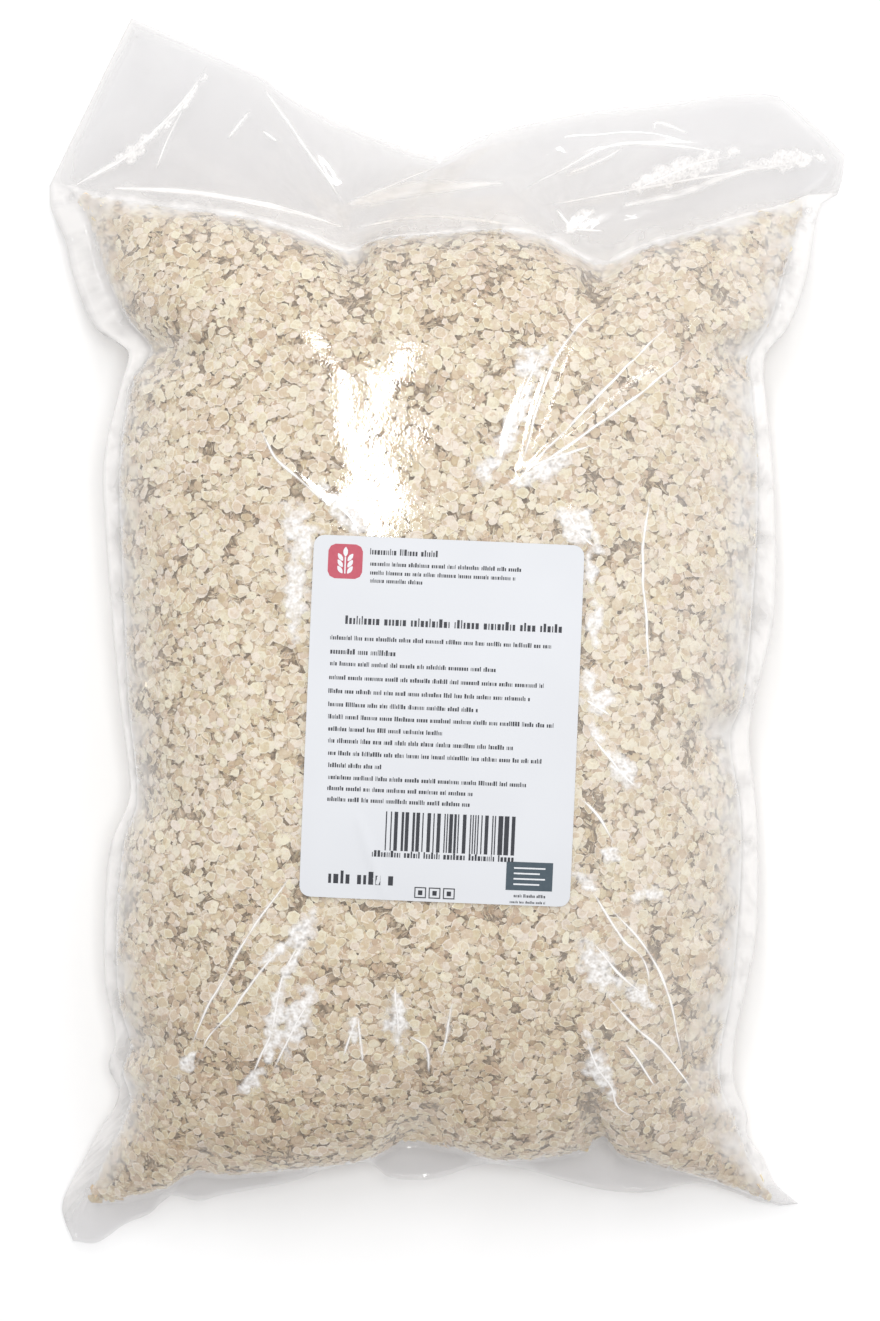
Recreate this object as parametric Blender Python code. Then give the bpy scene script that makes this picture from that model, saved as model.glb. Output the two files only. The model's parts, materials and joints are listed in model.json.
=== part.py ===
"""A clear bag of small rolled oats, five kilograms, lying on its back with its label up.

Run it with: blender --background --python part.py
Metres, +Z up. X runs across the bag, Y from its bottom seam to its mouth.
The origin is on the floor, under the middle of the bag.
"""

import math

import bmesh
import bpy
from mathutils import Vector, noise
from mathutils.bvhtree import BVHTree

MM = 0.001

# Driving sizes, in millimetres
CROWN_HEIGHT = 116.0          # top of the filled pillow above the floor
CROWN_SAG = 9.0               # how much lower the pillow is near its ends than near its middle
CROWN_SHARE = 0.42            # where along the pillow it is highest
SHOWN_SQUARENESS = (2.9, 3.4)   # of the section across and along; 2 would be an ellipse
BACK_SQUARENESS = (3.4, 4.0)
BACK_PRESSED = 1.15           # over 1 flattens the back on the floor
FILM_GAP = 1.2                # the two walls of the empty film, taken together
SEAL_THICKNESS = 0.9          # the welded band round the edge
LABEL_WIDTH = 125.0
LABEL_LENGTH = 167.0
LABEL_CORNER = 5.0
LABEL_THICKNESS = 0.4
LABEL_CENTRE = (-2.0, -40.0)
LABEL_TURN = -2.4             # degrees, seen from above
LABEL_GAP = 0.45              # between the label and the bag's facets
CALM_MARGIN = 4.0             # round the label the oats are as smooth as beneath it
CALM_FADE = 14.0

# Mesh density of the solid
COLUMNS = 30
ROWS_FILLED = 46
ROWS_EMPTY = 6
BAND_STEPS = 2
EDGE_CROWDING = 0.75          # 0 spaces the grid evenly, 1 crowds it into the round sides

# Outline of the oats, as points (x, y, height of the seam) from the bottom to the mouth
OATS_LEFT = [
    (-177, -279, 14), (-165, -252, 22), (-156, -234, 30), (-153, -222, 34), (-156, -209, 38),
    (-152, -197, 42), (-157, -175, 46), (-158, -142, 49), (-154, -98, 50), (-148, -79, 50),
    (-152, -31, 52), (-155, 36, 53), (-156, 84, 52), (-150, 121, 50), (-142, 137, 46),
    (-153, 151, 42), (-165, 175, 36), (-174, 203, 29), (-183, 217, 24),
]
OATS_RIGHT = [
    (163, -279, 11), (148, -254, 22), (139, -232, 32), (133, -218, 38), (132, -200, 42),
    (137, -170, 47), (141, -118, 50), (141, -84, 51), (136, -48, 52), (142, -31, 52),
    (148, 36, 53), (149, 79, 53), (146, 120, 51), (145, 132, 49), (156, 151, 44),
    (162, 170, 39), (169, 193, 32), (176, 214, 26),
]
OATS_BOTTOM = [
    (-177, -279, 14), (-157, -275, 18), (-137, -269, 25), (-120, -260, 32), (-108, -261, 35),
    (-64, -257, 40), (-36, -252, 42), (-20, -244, 43), (2, -247, 44), (26, -253, 43),
    (67, -248, 41), (75, -242, 40), (84, -251, 37), (103, -257, 33), (122, -263, 26),
    (136, -268, 20), (163, -279, 11),
]
OATS_TOP = [
    (-183, 217, 24), (-166, 212, 32), (-142, 208, 39), (-94, 200, 46), (-70, 193, 48),
    (-48, 184, 49), (-32, 190, 50), (-8, 192, 51), (26, 194, 51), (48, 190, 50),
    (74, 178, 49), (93, 186, 47), (122, 195, 42), (146, 203, 36), (165, 209, 30),
    (176, 214, 26),
]

# Outline of the film, in the same way
FILM_LEFT = [
    (-183, -297, 7), (-188, -284, 7), (-187, -275, 9), (-178, -258, 14), (-168, -240, 22),
    (-160, -228, 29), (-158, -221, 31), (-163, -208, 35), (-159, -196, 39), (-164, -166, 43),
    (-163, -118, 46), (-160, -98, 48), (-153, -83, 49), (-151, -73, 49), (-157, -24, 50),
    (-163, 50, 50), (-164, 84, 49), (-155, 123, 48), (-152, 134, 46), (-155, 139, 43),
    (-168, 147, 38), (-180, 172, 31), (-185, 192, 26), (-192, 207, 22), (-193, 219, 20),
]
FILM_RIGHT = [
    (173, -279, 6), (161, -268, 12), (154, -254, 18), (146, -242, 25), (146, -233, 29),
    (139, -216, 36), (139, -195, 40), (144, -170, 44), (149, -142, 47), (149, -89, 49),
    (145, -48, 50), (149, -26, 50), (157, 10, 51), (157, 69, 51), (153, 115, 50),
    (152, 127, 48), (154, 136, 45), (164, 147, 41), (174, 172, 34), (182, 209, 27),
    (190, 214, 25),
]
FILM_BOTTOM = [
    (-183, -297, 7), (-171, -297.5, 8), (-157, -288, 11), (-144, -282, 15), (-135, -273, 20),
    (-120, -275, 24), (-111, -272, 27), (-70, -263, 34), (-64, -259, 36), (-36, -254, 39),
    (-29, -261, 36), (-20, -263, 34), (-3, -262, 34), (16, -255, 38), (31, -256, 38),
    (74, -268, 31), (98, -270, 28), (122, -266, 24), (139, -271, 18), (153, -277, 12),
    (173, -279, 6),
]
FILM_MOUTH = [
    (-152, 298, 34), (-116, 280, 50), (-91, 269, 54), (-70, 254, 58), (-46, 241, 66),
    (-22, 230, 78), (-7, 224, 84), (-2, 224, 85), (16, 234, 80), (42, 242, 70),
    (74, 249, 64), (117, 255, 57), (135, 258, 54), (158, 258, 50), (170, 251, 45),
    (184, 240, 38), (193, 232, 32),
]

# The empty film's two side edges, from the oats up to the mouth, inside the welded band
EMPTY_LEFT = [(-183, 217, 24), (-172, 244, 28), (-160, 268, 31), (-149, 289, 34)]
EMPTY_RIGHT = [(176, 214, 26), (183, 221, 29), (187, 227, 31)]
WELD_LEFT = [(-193, 219, 20), (-179, 246, 26), (-165, 273, 31), (-152, 298, 34)]
WELD_RIGHT = [(190, 214, 25), (192, 221, 28), (193, 232, 32)]
MOUTH_WELD_WIDTH = 5.0        # the band along the mouth
MOUTH_CORNER_SHARE = 0.1      # of the mouth, over which that band narrows into its corners
FLAP_PUFF = 2.5               # how far each wall of the empty film stands off their middle

# Folds that run into the filled bag: (x, y) where each starts, where it ends, depth, half width
FOLDS = [
    ((-48, 188), (-41, 158), 9.0, 9.0),
    ((74, 184), (69, 150), 10.0, 9.0),
    ((74, 178), (108, 152), 4.0, 7.0),
    ((-20, -248), (8, -214), 11.0, 9.0),
    ((75, -246), (70, -222), 8.0, 8.0),
    ((-120, -264), (-104, -240), 7.0, 8.0),
    ((-140, 139), (-112, 128), 9.0, 10.0),
    ((143, 134), (116, 130), 8.0, 10.0),
    ((-148, -79), (-128, -84), 6.0, 10.0),
    ((136, -48), (118, -52), 6.0, 10.0),
    ((-152, -197), (-134, -192), 6.0, 8.0),
]

# Ridges and hollows of the empty film: start, end, height, half width
FLAP_FOLDS = [
    ((-193, 219), (-116, 278), 5.0, 8.0),
    ((-48, 205), (-91, 268), 6.0, 8.0),
    ((-48, 205), (-2, 224), -9.0, 9.0),
    ((10, 205), (74, 236), 7.0, 10.0),
    ((74, 236), (180, 233), 6.0, 8.0),
    ((-150, 222), (-60, 204), -4.0, 7.0),
    ((60, 200), (165, 222), -5.0, 8.0),
]

# The loose oats' unevenness, seen through the film: (size, height) of each kind of lump
LUMPS = [(22.0, 1.3), (9.0, 0.7)]


def smooth_step(value):
    """0 below 0, 1 above 1, and a soft S between."""
    value = min(1.0, max(0.0, value))
    return value * value * (3 - 2 * value)


def edge_point(points, share, along):
    """The point at a share of an edge, on a smooth curve through its points.

    along is 0 for an edge that runs across the bag and 1 for one that runs up it.
    """
    first, last = points[0][along], points[-1][along]
    shares = [(p[along] - first) / (last - first) for p in points]
    share = min(1.0, max(0.0, share))
    k = 0
    while k < len(points) - 2 and share > shares[k + 1]:
        k += 1
    span = shares[k + 1] - shares[k]
    s = (share - shares[k]) / span

    def slope(j, axis):
        """Gentle tangent at a point, from its two neighbours."""
        low, high = max(0, j - 1), min(len(points) - 1, j + 1)
        return (points[high][axis] - points[low][axis]) / (shares[high] - shares[low])

    result = []
    for axis in range(3):
        p, q = points[k][axis], points[k + 1][axis]
        m, n = slope(k, axis) * span, slope(k + 1, axis) * span
        result.append(
            (2 * s**3 - 3 * s**2 + 1) * p
            + (s**3 - 2 * s**2 + s) * m
            + (3 * s**2 - 2 * s**3) * q
            + (s**3 - s**2) * n
        )
    return Vector(result)


def patch(bottom, top, left, right, u, v):
    """A point of the surface that fills four edges, each a function of a share from 0 to 1."""
    ruled = bottom(u).lerp(top(u), v) + left(v).lerp(right(v), u)
    corners = bottom(0).lerp(bottom(1), u).lerp(top(0).lerp(top(1), u), v)
    return ruled - corners


def seam_height(u, v):
    """Height of the seam, taken from whichever edges are near."""
    near = [
        (u, edge_point(OATS_LEFT, v, 1).z),
        (1 - u, edge_point(OATS_RIGHT, v, 1).z),
        (v, edge_point(OATS_BOTTOM, u, 0).z),
        (1 - v, edge_point(OATS_TOP, u, 0).z),
    ]
    weights = [(1 / max(distance, 1e-5) ** 1.5, height) for distance, height in near]
    return sum(w * height for w, height in weights) / sum(w for w, height in weights)


def fullness(u, v, across_power, along_power):
    """0 at the seam and 1 over the middle of the pillow, thin in its four corners."""
    x, y = abs(2 * u - 1), abs(2 * v - 1)
    across = max(0.0, 1 - x**across_power)
    along = max(0.0, 1 - y**along_power)
    corner = 1 - 0.35 * x**8 * y**8
    return math.sqrt(across) * along**0.55 * corner


def ridge(point, start, end, height, half_width):
    """Height that a straight fold adds at a point, fading towards its end."""
    a, b = Vector(start), Vector(end)
    run = b - a
    share = (point - a).dot(run) / run.length_squared
    near = a + run * min(1.0, max(0.0, share))
    off = (point - near).length / half_width
    fade = 1 - 0.75 * smooth_step(share)
    return height * fade * math.exp(-off * off)


def off_label(point):
    """0 under the label, 1 well away from it."""
    turn = math.radians(-LABEL_TURN)
    dx, dy = point.x - LABEL_CENTRE[0], point.y - LABEL_CENTRE[1]
    x = dx * math.cos(turn) - dy * math.sin(turn)
    y = dx * math.sin(turn) + dy * math.cos(turn)
    over = max(abs(x) - LABEL_WIDTH / 2, abs(y) - LABEL_LENGTH / 2)
    return smooth_step((over - CALM_MARGIN) / CALM_FADE)


def filled_point(u, v, face):
    """A point of the filled part. face is 1 for the shown wall and -1 for the one it lies on."""
    place = patch(
        lambda s: edge_point(OATS_BOTTOM, s, 0),
        lambda s: edge_point(OATS_TOP, s, 0),
        lambda s: edge_point(OATS_LEFT, s, 1),
        lambda s: edge_point(OATS_RIGHT, s, 1),
        u,
        v,
    )
    flat = Vector((place.x, place.y))
    seam = seam_height(u, v)
    half_gap = FILM_GAP / 2
    if face < 0:
        full = min(1.0, BACK_PRESSED * fullness(u, v, *BACK_SQUARENESS))
        return Vector((place.x, place.y, max(0.0, (seam - half_gap) * (1 - full))))
    full = fullness(u, v, *SHOWN_SQUARENESS)
    crown = CROWN_HEIGHT - CROWN_SAG * smooth_step(abs(v - CROWN_SHARE) / 0.55)
    height = seam + half_gap + (crown - seam) * full
    lump = sum(noise.noise(Vector((place.x, place.y, 0)) / size) * high for size, high in LUMPS)
    inside = smooth_step(full / 0.5)
    height += lump * inside * off_label(flat)
    for start, end, depth, half_width in FOLDS:
        height -= ridge(flat, start, end, depth, half_width) * smooth_step(full / 0.35)
    return Vector((place.x, place.y, max(height, seam + half_gap)))


def mouth_inner(share):
    """The empty film's upper edge, just inside the band that closes the mouth."""
    outer = edge_point(FILM_MOUTH, share, 0)
    start = Vector(EMPTY_LEFT[-1])
    end = Vector(EMPTY_RIGHT[-1])
    inner = outer - Vector((0, MOUTH_WELD_WIDTH, 0))
    if share < MOUTH_CORNER_SHARE:
        return start.lerp(inner, smooth_step(share / MOUTH_CORNER_SHARE))
    if share > 1 - MOUTH_CORNER_SHARE:
        return end.lerp(inner, smooth_step((1 - share) / MOUTH_CORNER_SHARE))
    return inner


def empty_point(u, w, face):
    """A point of the empty film above the oats, w from the oats to the mouth."""
    place = patch(
        lambda s: edge_point(OATS_TOP, s, 0),
        mouth_inner,
        lambda s: edge_point(EMPTY_LEFT, s, 1),
        lambda s: edge_point(EMPTY_RIGHT, s, 1),
        u,
        w,
    )
    flat = Vector((place.x, place.y))
    inside = math.sin(math.pi * min(1.0, max(0.0, w))) * math.sin(math.pi * u) ** 0.5
    fold = sum(ridge(flat, *crease) for crease in FLAP_FOLDS)
    place.z += fold * inside + face * (FILM_GAP / 2 + FLAP_PUFF * inside)
    return place


def crowd(step, steps):
    """Share of the way for a grid line, crowded towards both ends."""
    even = step / steps
    round_side = (1 - math.cos(math.pi * even)) / 2
    return even + (round_side - even) * EDGE_CROWDING


def rim_point(column, row):
    """The film's outer edge opposite a border vertex of the grid."""
    rows = ROWS_FILLED + ROWS_EMPTY
    u = crowd(column, COLUMNS)
    if row == 0:
        return edge_point(FILM_BOTTOM, u, 0)
    if row == rows:
        return edge_point(FILM_MOUTH, u, 0)
    if row <= ROWS_FILLED:
        side = FILM_LEFT if column == 0 else FILM_RIGHT
        return edge_point(side, crowd(row, ROWS_FILLED), 1)
    side = WELD_LEFT if column == 0 else WELD_RIGHT
    return edge_point(side, (row - ROWS_FILLED) / ROWS_EMPTY, 1)


def grid_point(column, row, face):
    """A point of one wall of the bag, by its column and row."""
    u = crowd(column, COLUMNS)
    if row <= ROWS_FILLED:
        return filled_point(u, crowd(row, ROWS_FILLED), face)
    return empty_point(u, (row - ROWS_FILLED) / ROWS_EMPTY, face)


def band_point(column, row, face, share):
    """A point of the welded band, at a share of the way from the grid's border to the rim."""
    seam = grid_point(column, row, face)
    seam.z -= face * FILM_GAP / 2
    point = seam.lerp(rim_point(column, row), share)
    point.z += face * SEAL_THICKNESS / 2
    return point


def make_wall(face):
    """One wall of the bag: a grid, with the welded band drawn out of its border."""
    rows = ROWS_FILLED + ROWS_EMPTY
    mesh = bmesh.new()
    column_of = mesh.verts.layers.int.new("column")
    row_of = mesh.verts.layers.int.new("row")
    bmesh.ops.create_grid(mesh, x_segments=COLUMNS, y_segments=rows, size=1.0)
    for vertex in mesh.verts:
        vertex[column_of] = round((vertex.co.x + 1) / 2 * COLUMNS)
        vertex[row_of] = round((vertex.co.y + 1) / 2 * rows)
        vertex.co = grid_point(vertex[column_of], vertex[row_of], face)
    for step in range(1, BAND_STEPS + 1):
        border = [edge for edge in mesh.edges if edge.is_boundary]
        drawn = bmesh.ops.extrude_edge_only(mesh, edges=border)["geom"]
        for vertex in drawn:
            if isinstance(vertex, bmesh.types.BMVert):
                cell = vertex[column_of], vertex[row_of]
                vertex.co = band_point(*cell, face, step / BAND_STEPS)
    if face < 0:
        bmesh.ops.reverse_faces(mesh, faces=mesh.faces[:])
    return mesh


def make_bag_mesh():
    """The whole bag as one closed solid: two walls joined along the rim."""
    front, back = make_wall(1), make_wall(-1)
    spare = bpy.data.meshes.new("back_wall")
    back.to_mesh(spare)
    back.free()
    front.from_mesh(spare)
    bpy.data.meshes.remove(spare)
    rim = [edge for edge in front.edges if edge.is_boundary]
    bmesh.ops.bridge_loops(front, edges=rim)
    bmesh.ops.triangulate(front, faces=front.faces[:])
    bmesh.ops.recalc_face_normals(front, faces=front.faces[:])
    bmesh.ops.scale(front, vec=(MM, MM, MM), verts=front.verts[:])
    return front


def label_lines(half, even_cells):
    """Grid lines over half a side of the label: even ones, then two that shape the round corner."""
    core = half - LABEL_CORNER
    even = [core * k / even_cells for k in range(even_cells + 1)]
    return even + [half - 0.4 * LABEL_CORNER, half]


def round_corner(x, y):
    """Moves a point of the square label onto the label with its round corners."""
    core_x, core_y = LABEL_WIDTH / 2 - LABEL_CORNER, LABEL_LENGTH / 2 - LABEL_CORNER
    over_x, over_y = abs(x) - core_x, abs(y) - core_y
    if over_x > 0 and over_y > 0:
        reach = max(over_x, over_y) / math.hypot(over_x, over_y)
        x = math.copysign(core_x + over_x * reach, x)
        y = math.copysign(core_y + over_y * reach, y)
    return x, y


def make_label_mesh(bag):
    """The paper label: a thin closed sheet that follows the bag's shown wall."""
    lines_x = label_lines(LABEL_WIDTH / 2, 5)
    lines_y = label_lines(LABEL_LENGTH / 2, 7)
    columns, rows = 2 * len(lines_x) - 2, 2 * len(lines_y) - 2
    tree = BVHTree.FromBMesh(bag)
    sheet = bmesh.new()
    bmesh.ops.create_grid(sheet, x_segments=columns, y_segments=rows, size=1.0)
    turn = math.radians(LABEL_TURN)
    for vertex in sheet.verts:
        i = round(vertex.co.x * columns / 2)
        j = round(vertex.co.y * rows / 2)
        x = math.copysign(lines_x[abs(i)], i)
        y = math.copysign(lines_y[abs(j)], j)
        x, y = round_corner(x, y)
        place_x = LABEL_CENTRE[0] + x * math.cos(turn) - y * math.sin(turn)
        place_y = LABEL_CENTRE[1] + x * math.sin(turn) + y * math.cos(turn)
        above = Vector((place_x * MM, place_y * MM, 1.0))
        hit = tree.ray_cast(above, Vector((0, 0, -1)))[0]
        vertex.co = hit + Vector((0, 0, LABEL_GAP * MM))
    lifted = bmesh.ops.extrude_face_region(sheet, geom=sheet.faces[:])["geom"]
    top = [item for item in lifted if isinstance(item, bmesh.types.BMVert)]
    bmesh.ops.translate(sheet, verts=top, vec=(0, 0, LABEL_THICKNESS * MM))
    bmesh.ops.triangulate(sheet, faces=sheet.faces[:])
    bmesh.ops.recalc_face_normals(sheet, faces=sheet.faces[:])
    return sheet


def make_material(name, colour, roughness):
    """A plain Principled finish."""
    material = bpy.data.materials.new(name)
    material.use_nodes = True
    shader = material.node_tree.nodes["Principled BSDF"]
    shader.inputs["Base Color"].default_value = (*colour, 1)
    shader.inputs["Roughness"].default_value = roughness
    shader.inputs["Metallic"].default_value = 0.0
    return material


def add_object(name, built, material):
    """Puts a built mesh into the scene as a named object."""
    mesh = bpy.data.meshes.new(name)
    built.to_mesh(mesh)
    built.free()
    mesh.materials.append(material)
    mesh.shade_smooth()
    mesh.set_sharp_from_angle(angle=math.radians(40))
    thing = bpy.data.objects.new(name, mesh)
    bpy.context.scene.collection.objects.link(thing)
    return thing


def main():
    for thing in list(bpy.data.objects):
        bpy.data.objects.remove(thing)
    oats = make_material("oats_behind_film", (0.62, 0.50, 0.36), 0.35)
    paper = make_material("label_paper", (0.86, 0.87, 0.90), 0.45)
    bag = make_bag_mesh()
    label = make_label_mesh(bag)
    add_object("oats_bag", bag, oats)
    add_object("label", label, paper)


main()
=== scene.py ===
"""Looks of a clear film bag of rolled oats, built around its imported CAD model.

Lengths in the tables are millimetres. X runs across the bag, Y from its bottom seam to its
mouth and Z up from the floor, as in the CAD model.
"""

import json
import math
from typing import NamedTuple

import bmesh
import bpy
import numpy as np
from bpy.props import FloatProperty, FloatVectorProperty, IntProperty, PointerProperty
from bpy.types import Operator, Panel, PropertyGroup
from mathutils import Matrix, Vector, noise
from mathutils.bvhtree import BVHTree

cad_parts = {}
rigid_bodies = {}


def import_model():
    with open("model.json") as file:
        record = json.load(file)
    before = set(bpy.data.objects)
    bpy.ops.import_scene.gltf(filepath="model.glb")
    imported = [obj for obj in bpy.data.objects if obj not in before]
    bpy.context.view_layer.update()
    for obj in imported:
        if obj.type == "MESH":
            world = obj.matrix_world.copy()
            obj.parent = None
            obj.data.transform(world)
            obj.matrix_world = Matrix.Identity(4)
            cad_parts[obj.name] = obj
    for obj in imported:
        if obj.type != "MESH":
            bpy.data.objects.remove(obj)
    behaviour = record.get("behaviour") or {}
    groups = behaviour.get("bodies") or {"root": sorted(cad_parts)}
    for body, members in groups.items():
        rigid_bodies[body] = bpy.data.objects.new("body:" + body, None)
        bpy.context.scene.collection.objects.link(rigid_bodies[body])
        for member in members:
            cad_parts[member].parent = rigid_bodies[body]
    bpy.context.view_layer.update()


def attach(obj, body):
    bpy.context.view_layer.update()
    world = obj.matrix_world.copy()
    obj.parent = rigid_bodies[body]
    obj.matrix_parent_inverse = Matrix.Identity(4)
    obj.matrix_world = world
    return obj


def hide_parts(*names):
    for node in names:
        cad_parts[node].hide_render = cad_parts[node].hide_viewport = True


for start_up in list(bpy.data.objects):
    bpy.data.objects.remove(start_up)
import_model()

bl_info = {
    "name": "Bag of rolled oats",
    "version": (1, 0, 0),
    "blender": (4, 5, 0),
    "location": "3D View > Sidebar > Oats",
    "description": "Dresses the packed bag with film, loose oat flakes and a printed label",
    "category": "Add Mesh",
}

MM = 0.001

# Form of the filled pillow, as in the CAD model, with its lumps drawn tighter by the film
CROWN_HEIGHT = 116.0
CROWN_SAG = 9.0
CROWN_SHARE = 0.42
CROWN_REACH = 0.55
SHOWN_SQUARENESS = (2.9, 3.4)
BACK_SQUARENESS = (3.4, 4.0)
BACK_PRESSED = 1.15
LUMPS = [(34.0, 0.7), (12.0, 0.10)]
CALM = (4.0, 14.0)            # margin and fade round the label where no lumps are
MOUTH_WELD_WIDTH = 5.0
MOUTH_CORNER_SHARE = 0.1
FLAP_PUFF = 2.5
LABEL_CENTRE = (-2.0, -40.0)
LABEL_TURN = -2.4

# Outline of the oats: (x, y, height of the seam), from the bottom to the mouth
OATS_LEFT = [
    (-177, -279, 14), (-165, -252, 22), (-156, -234, 30), (-153, -222, 34), (-156, -209, 38),
    (-152, -197, 42), (-157, -175, 46), (-158, -142, 49), (-154, -98, 50), (-148, -79, 50),
    (-152, -31, 52), (-155, 36, 53), (-156, 84, 52), (-150, 121, 50), (-142, 137, 46),
    (-153, 151, 42), (-165, 175, 36), (-174, 203, 29), (-183, 217, 24),
]
OATS_RIGHT = [
    (163, -279, 11), (148, -254, 22), (139, -232, 32), (133, -218, 38), (132, -200, 42),
    (137, -170, 47), (141, -118, 50), (141, -84, 51), (136, -48, 52), (142, -31, 52),
    (148, 36, 53), (149, 79, 53), (146, 120, 51), (145, 132, 49), (156, 151, 44),
    (162, 170, 39), (169, 193, 32), (176, 214, 26),
]
OATS_BOTTOM = [
    (-177, -279, 14), (-157, -275, 18), (-137, -269, 25), (-120, -260, 32), (-108, -261, 35),
    (-64, -257, 40), (-36, -252, 42), (-20, -244, 43), (2, -247, 44), (26, -253, 43),
    (67, -248, 41), (75, -242, 40), (84, -251, 37), (103, -257, 33), (122, -263, 26),
    (136, -268, 20), (163, -279, 11),
]
OATS_TOP = [
    (-183, 217, 24), (-166, 212, 32), (-142, 208, 39), (-94, 200, 46), (-70, 193, 48),
    (-48, 184, 49), (-32, 190, 50), (-8, 192, 51), (26, 194, 51), (48, 190, 50),
    (74, 178, 49), (93, 186, 47), (122, 195, 42), (146, 203, 36), (165, 209, 30),
    (176, 214, 26),
]

# Outline of the film, in the same way
FILM_LEFT = [
    (-183, -297, 7), (-188, -284, 7), (-187, -275, 9), (-178, -258, 14), (-168, -240, 22),
    (-160, -228, 29), (-158, -221, 31), (-163, -208, 35), (-159, -196, 39), (-164, -166, 43),
    (-163, -118, 46), (-160, -98, 48), (-153, -83, 49), (-151, -73, 49), (-157, -24, 50),
    (-163, 50, 50), (-164, 84, 49), (-155, 123, 48), (-152, 134, 46), (-155, 139, 43),
    (-168, 147, 38), (-180, 172, 31), (-185, 192, 26), (-192, 207, 22), (-193, 219, 20),
]
FILM_RIGHT = [
    (173, -279, 6), (161, -268, 12), (154, -254, 18), (146, -242, 25), (146, -233, 29),
    (139, -216, 36), (139, -195, 40), (144, -170, 44), (149, -142, 47), (149, -89, 49),
    (145, -48, 50), (149, -26, 50), (157, 10, 51), (157, 69, 51), (153, 115, 50),
    (152, 127, 48), (154, 136, 45), (164, 147, 41), (174, 172, 34), (182, 209, 27),
    (190, 214, 25),
]
FILM_BOTTOM = [
    (-183, -297, 7), (-171, -297.5, 8), (-157, -288, 11), (-144, -282, 15), (-135, -273, 20),
    (-120, -275, 24), (-111, -272, 27), (-70, -263, 34), (-64, -259, 36), (-36, -254, 39),
    (-29, -261, 36), (-20, -263, 34), (-3, -262, 34), (16, -255, 38), (31, -256, 38),
    (74, -268, 31), (98, -270, 28), (122, -266, 24), (139, -271, 18), (153, -277, 12),
    (173, -279, 6),
]
FILM_MOUTH = [
    (-152, 298, 34), (-116, 280, 50), (-91, 269, 54), (-70, 254, 58), (-46, 241, 66),
    (-22, 230, 78), (-7, 224, 84), (-2, 224, 85), (16, 234, 80), (42, 242, 70),
    (74, 249, 64), (117, 255, 57), (135, 258, 54), (158, 258, 50), (170, 251, 45),
    (184, 240, 38), (193, 232, 32),
]
EMPTY_LEFT = [(-183, 217, 24), (-172, 244, 28), (-160, 268, 31), (-149, 289, 34)]
EMPTY_RIGHT = [(176, 214, 26), (183, 221, 29), (187, 227, 31)]
WELD_LEFT = [(-193, 219, 20), (-179, 246, 26), (-165, 273, 31), (-152, 298, 34)]
WELD_RIGHT = [(190, 214, 25), (192, 221, 28), (193, 232, 32)]

# Folds that run into the filled bag: where each starts, where it ends, depth, half width
FOLDS = [
    ((-48, 188), (-41, 158), 9.0, 9.0),
    ((74, 184), (69, 150), 10.0, 9.0),
    ((74, 178), (108, 152), 4.0, 7.0),
    ((-20, -248), (8, -214), 11.0, 9.0),
    ((75, -246), (70, -222), 8.0, 8.0),
    ((-120, -264), (-104, -240), 7.0, 8.0),
    ((-140, 139), (-112, 128), 9.0, 10.0),
    ((143, 134), (116, 130), 8.0, 10.0),
    ((-148, -79), (-128, -84), 6.0, 10.0),
    ((136, -48), (118, -52), 6.0, 10.0),
    ((-152, -197), (-134, -192), 6.0, 8.0),
]
FLAP_FOLDS = [
    ((-193, 219), (-116, 278), 5.0, 8.0),
    ((-44, 192), (-91, 268), 4.0, 8.0),
    ((-54, 190), (-2, 224), -8.0, 9.0),
    ((4, 198), (74, 236), 5.0, 11.0),
    ((60, 230), (180, 233), 4.0, 9.0),
    ((-150, 222), (-60, 204), -4.0, 7.0),
    ((60, 200), (165, 222), -5.0, 8.0),
]

# Where the mouth is gathered, and the edge of the lower layer of film right of the first place
GATHERED = [(-48, 188), (60, 188)]
LOWER_LAYER = [
    (-48, 204), (18, 215), (33, 217), (53.5, 228), (82, 238), (125, 235), (158, 235), (182, 234),
]

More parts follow.
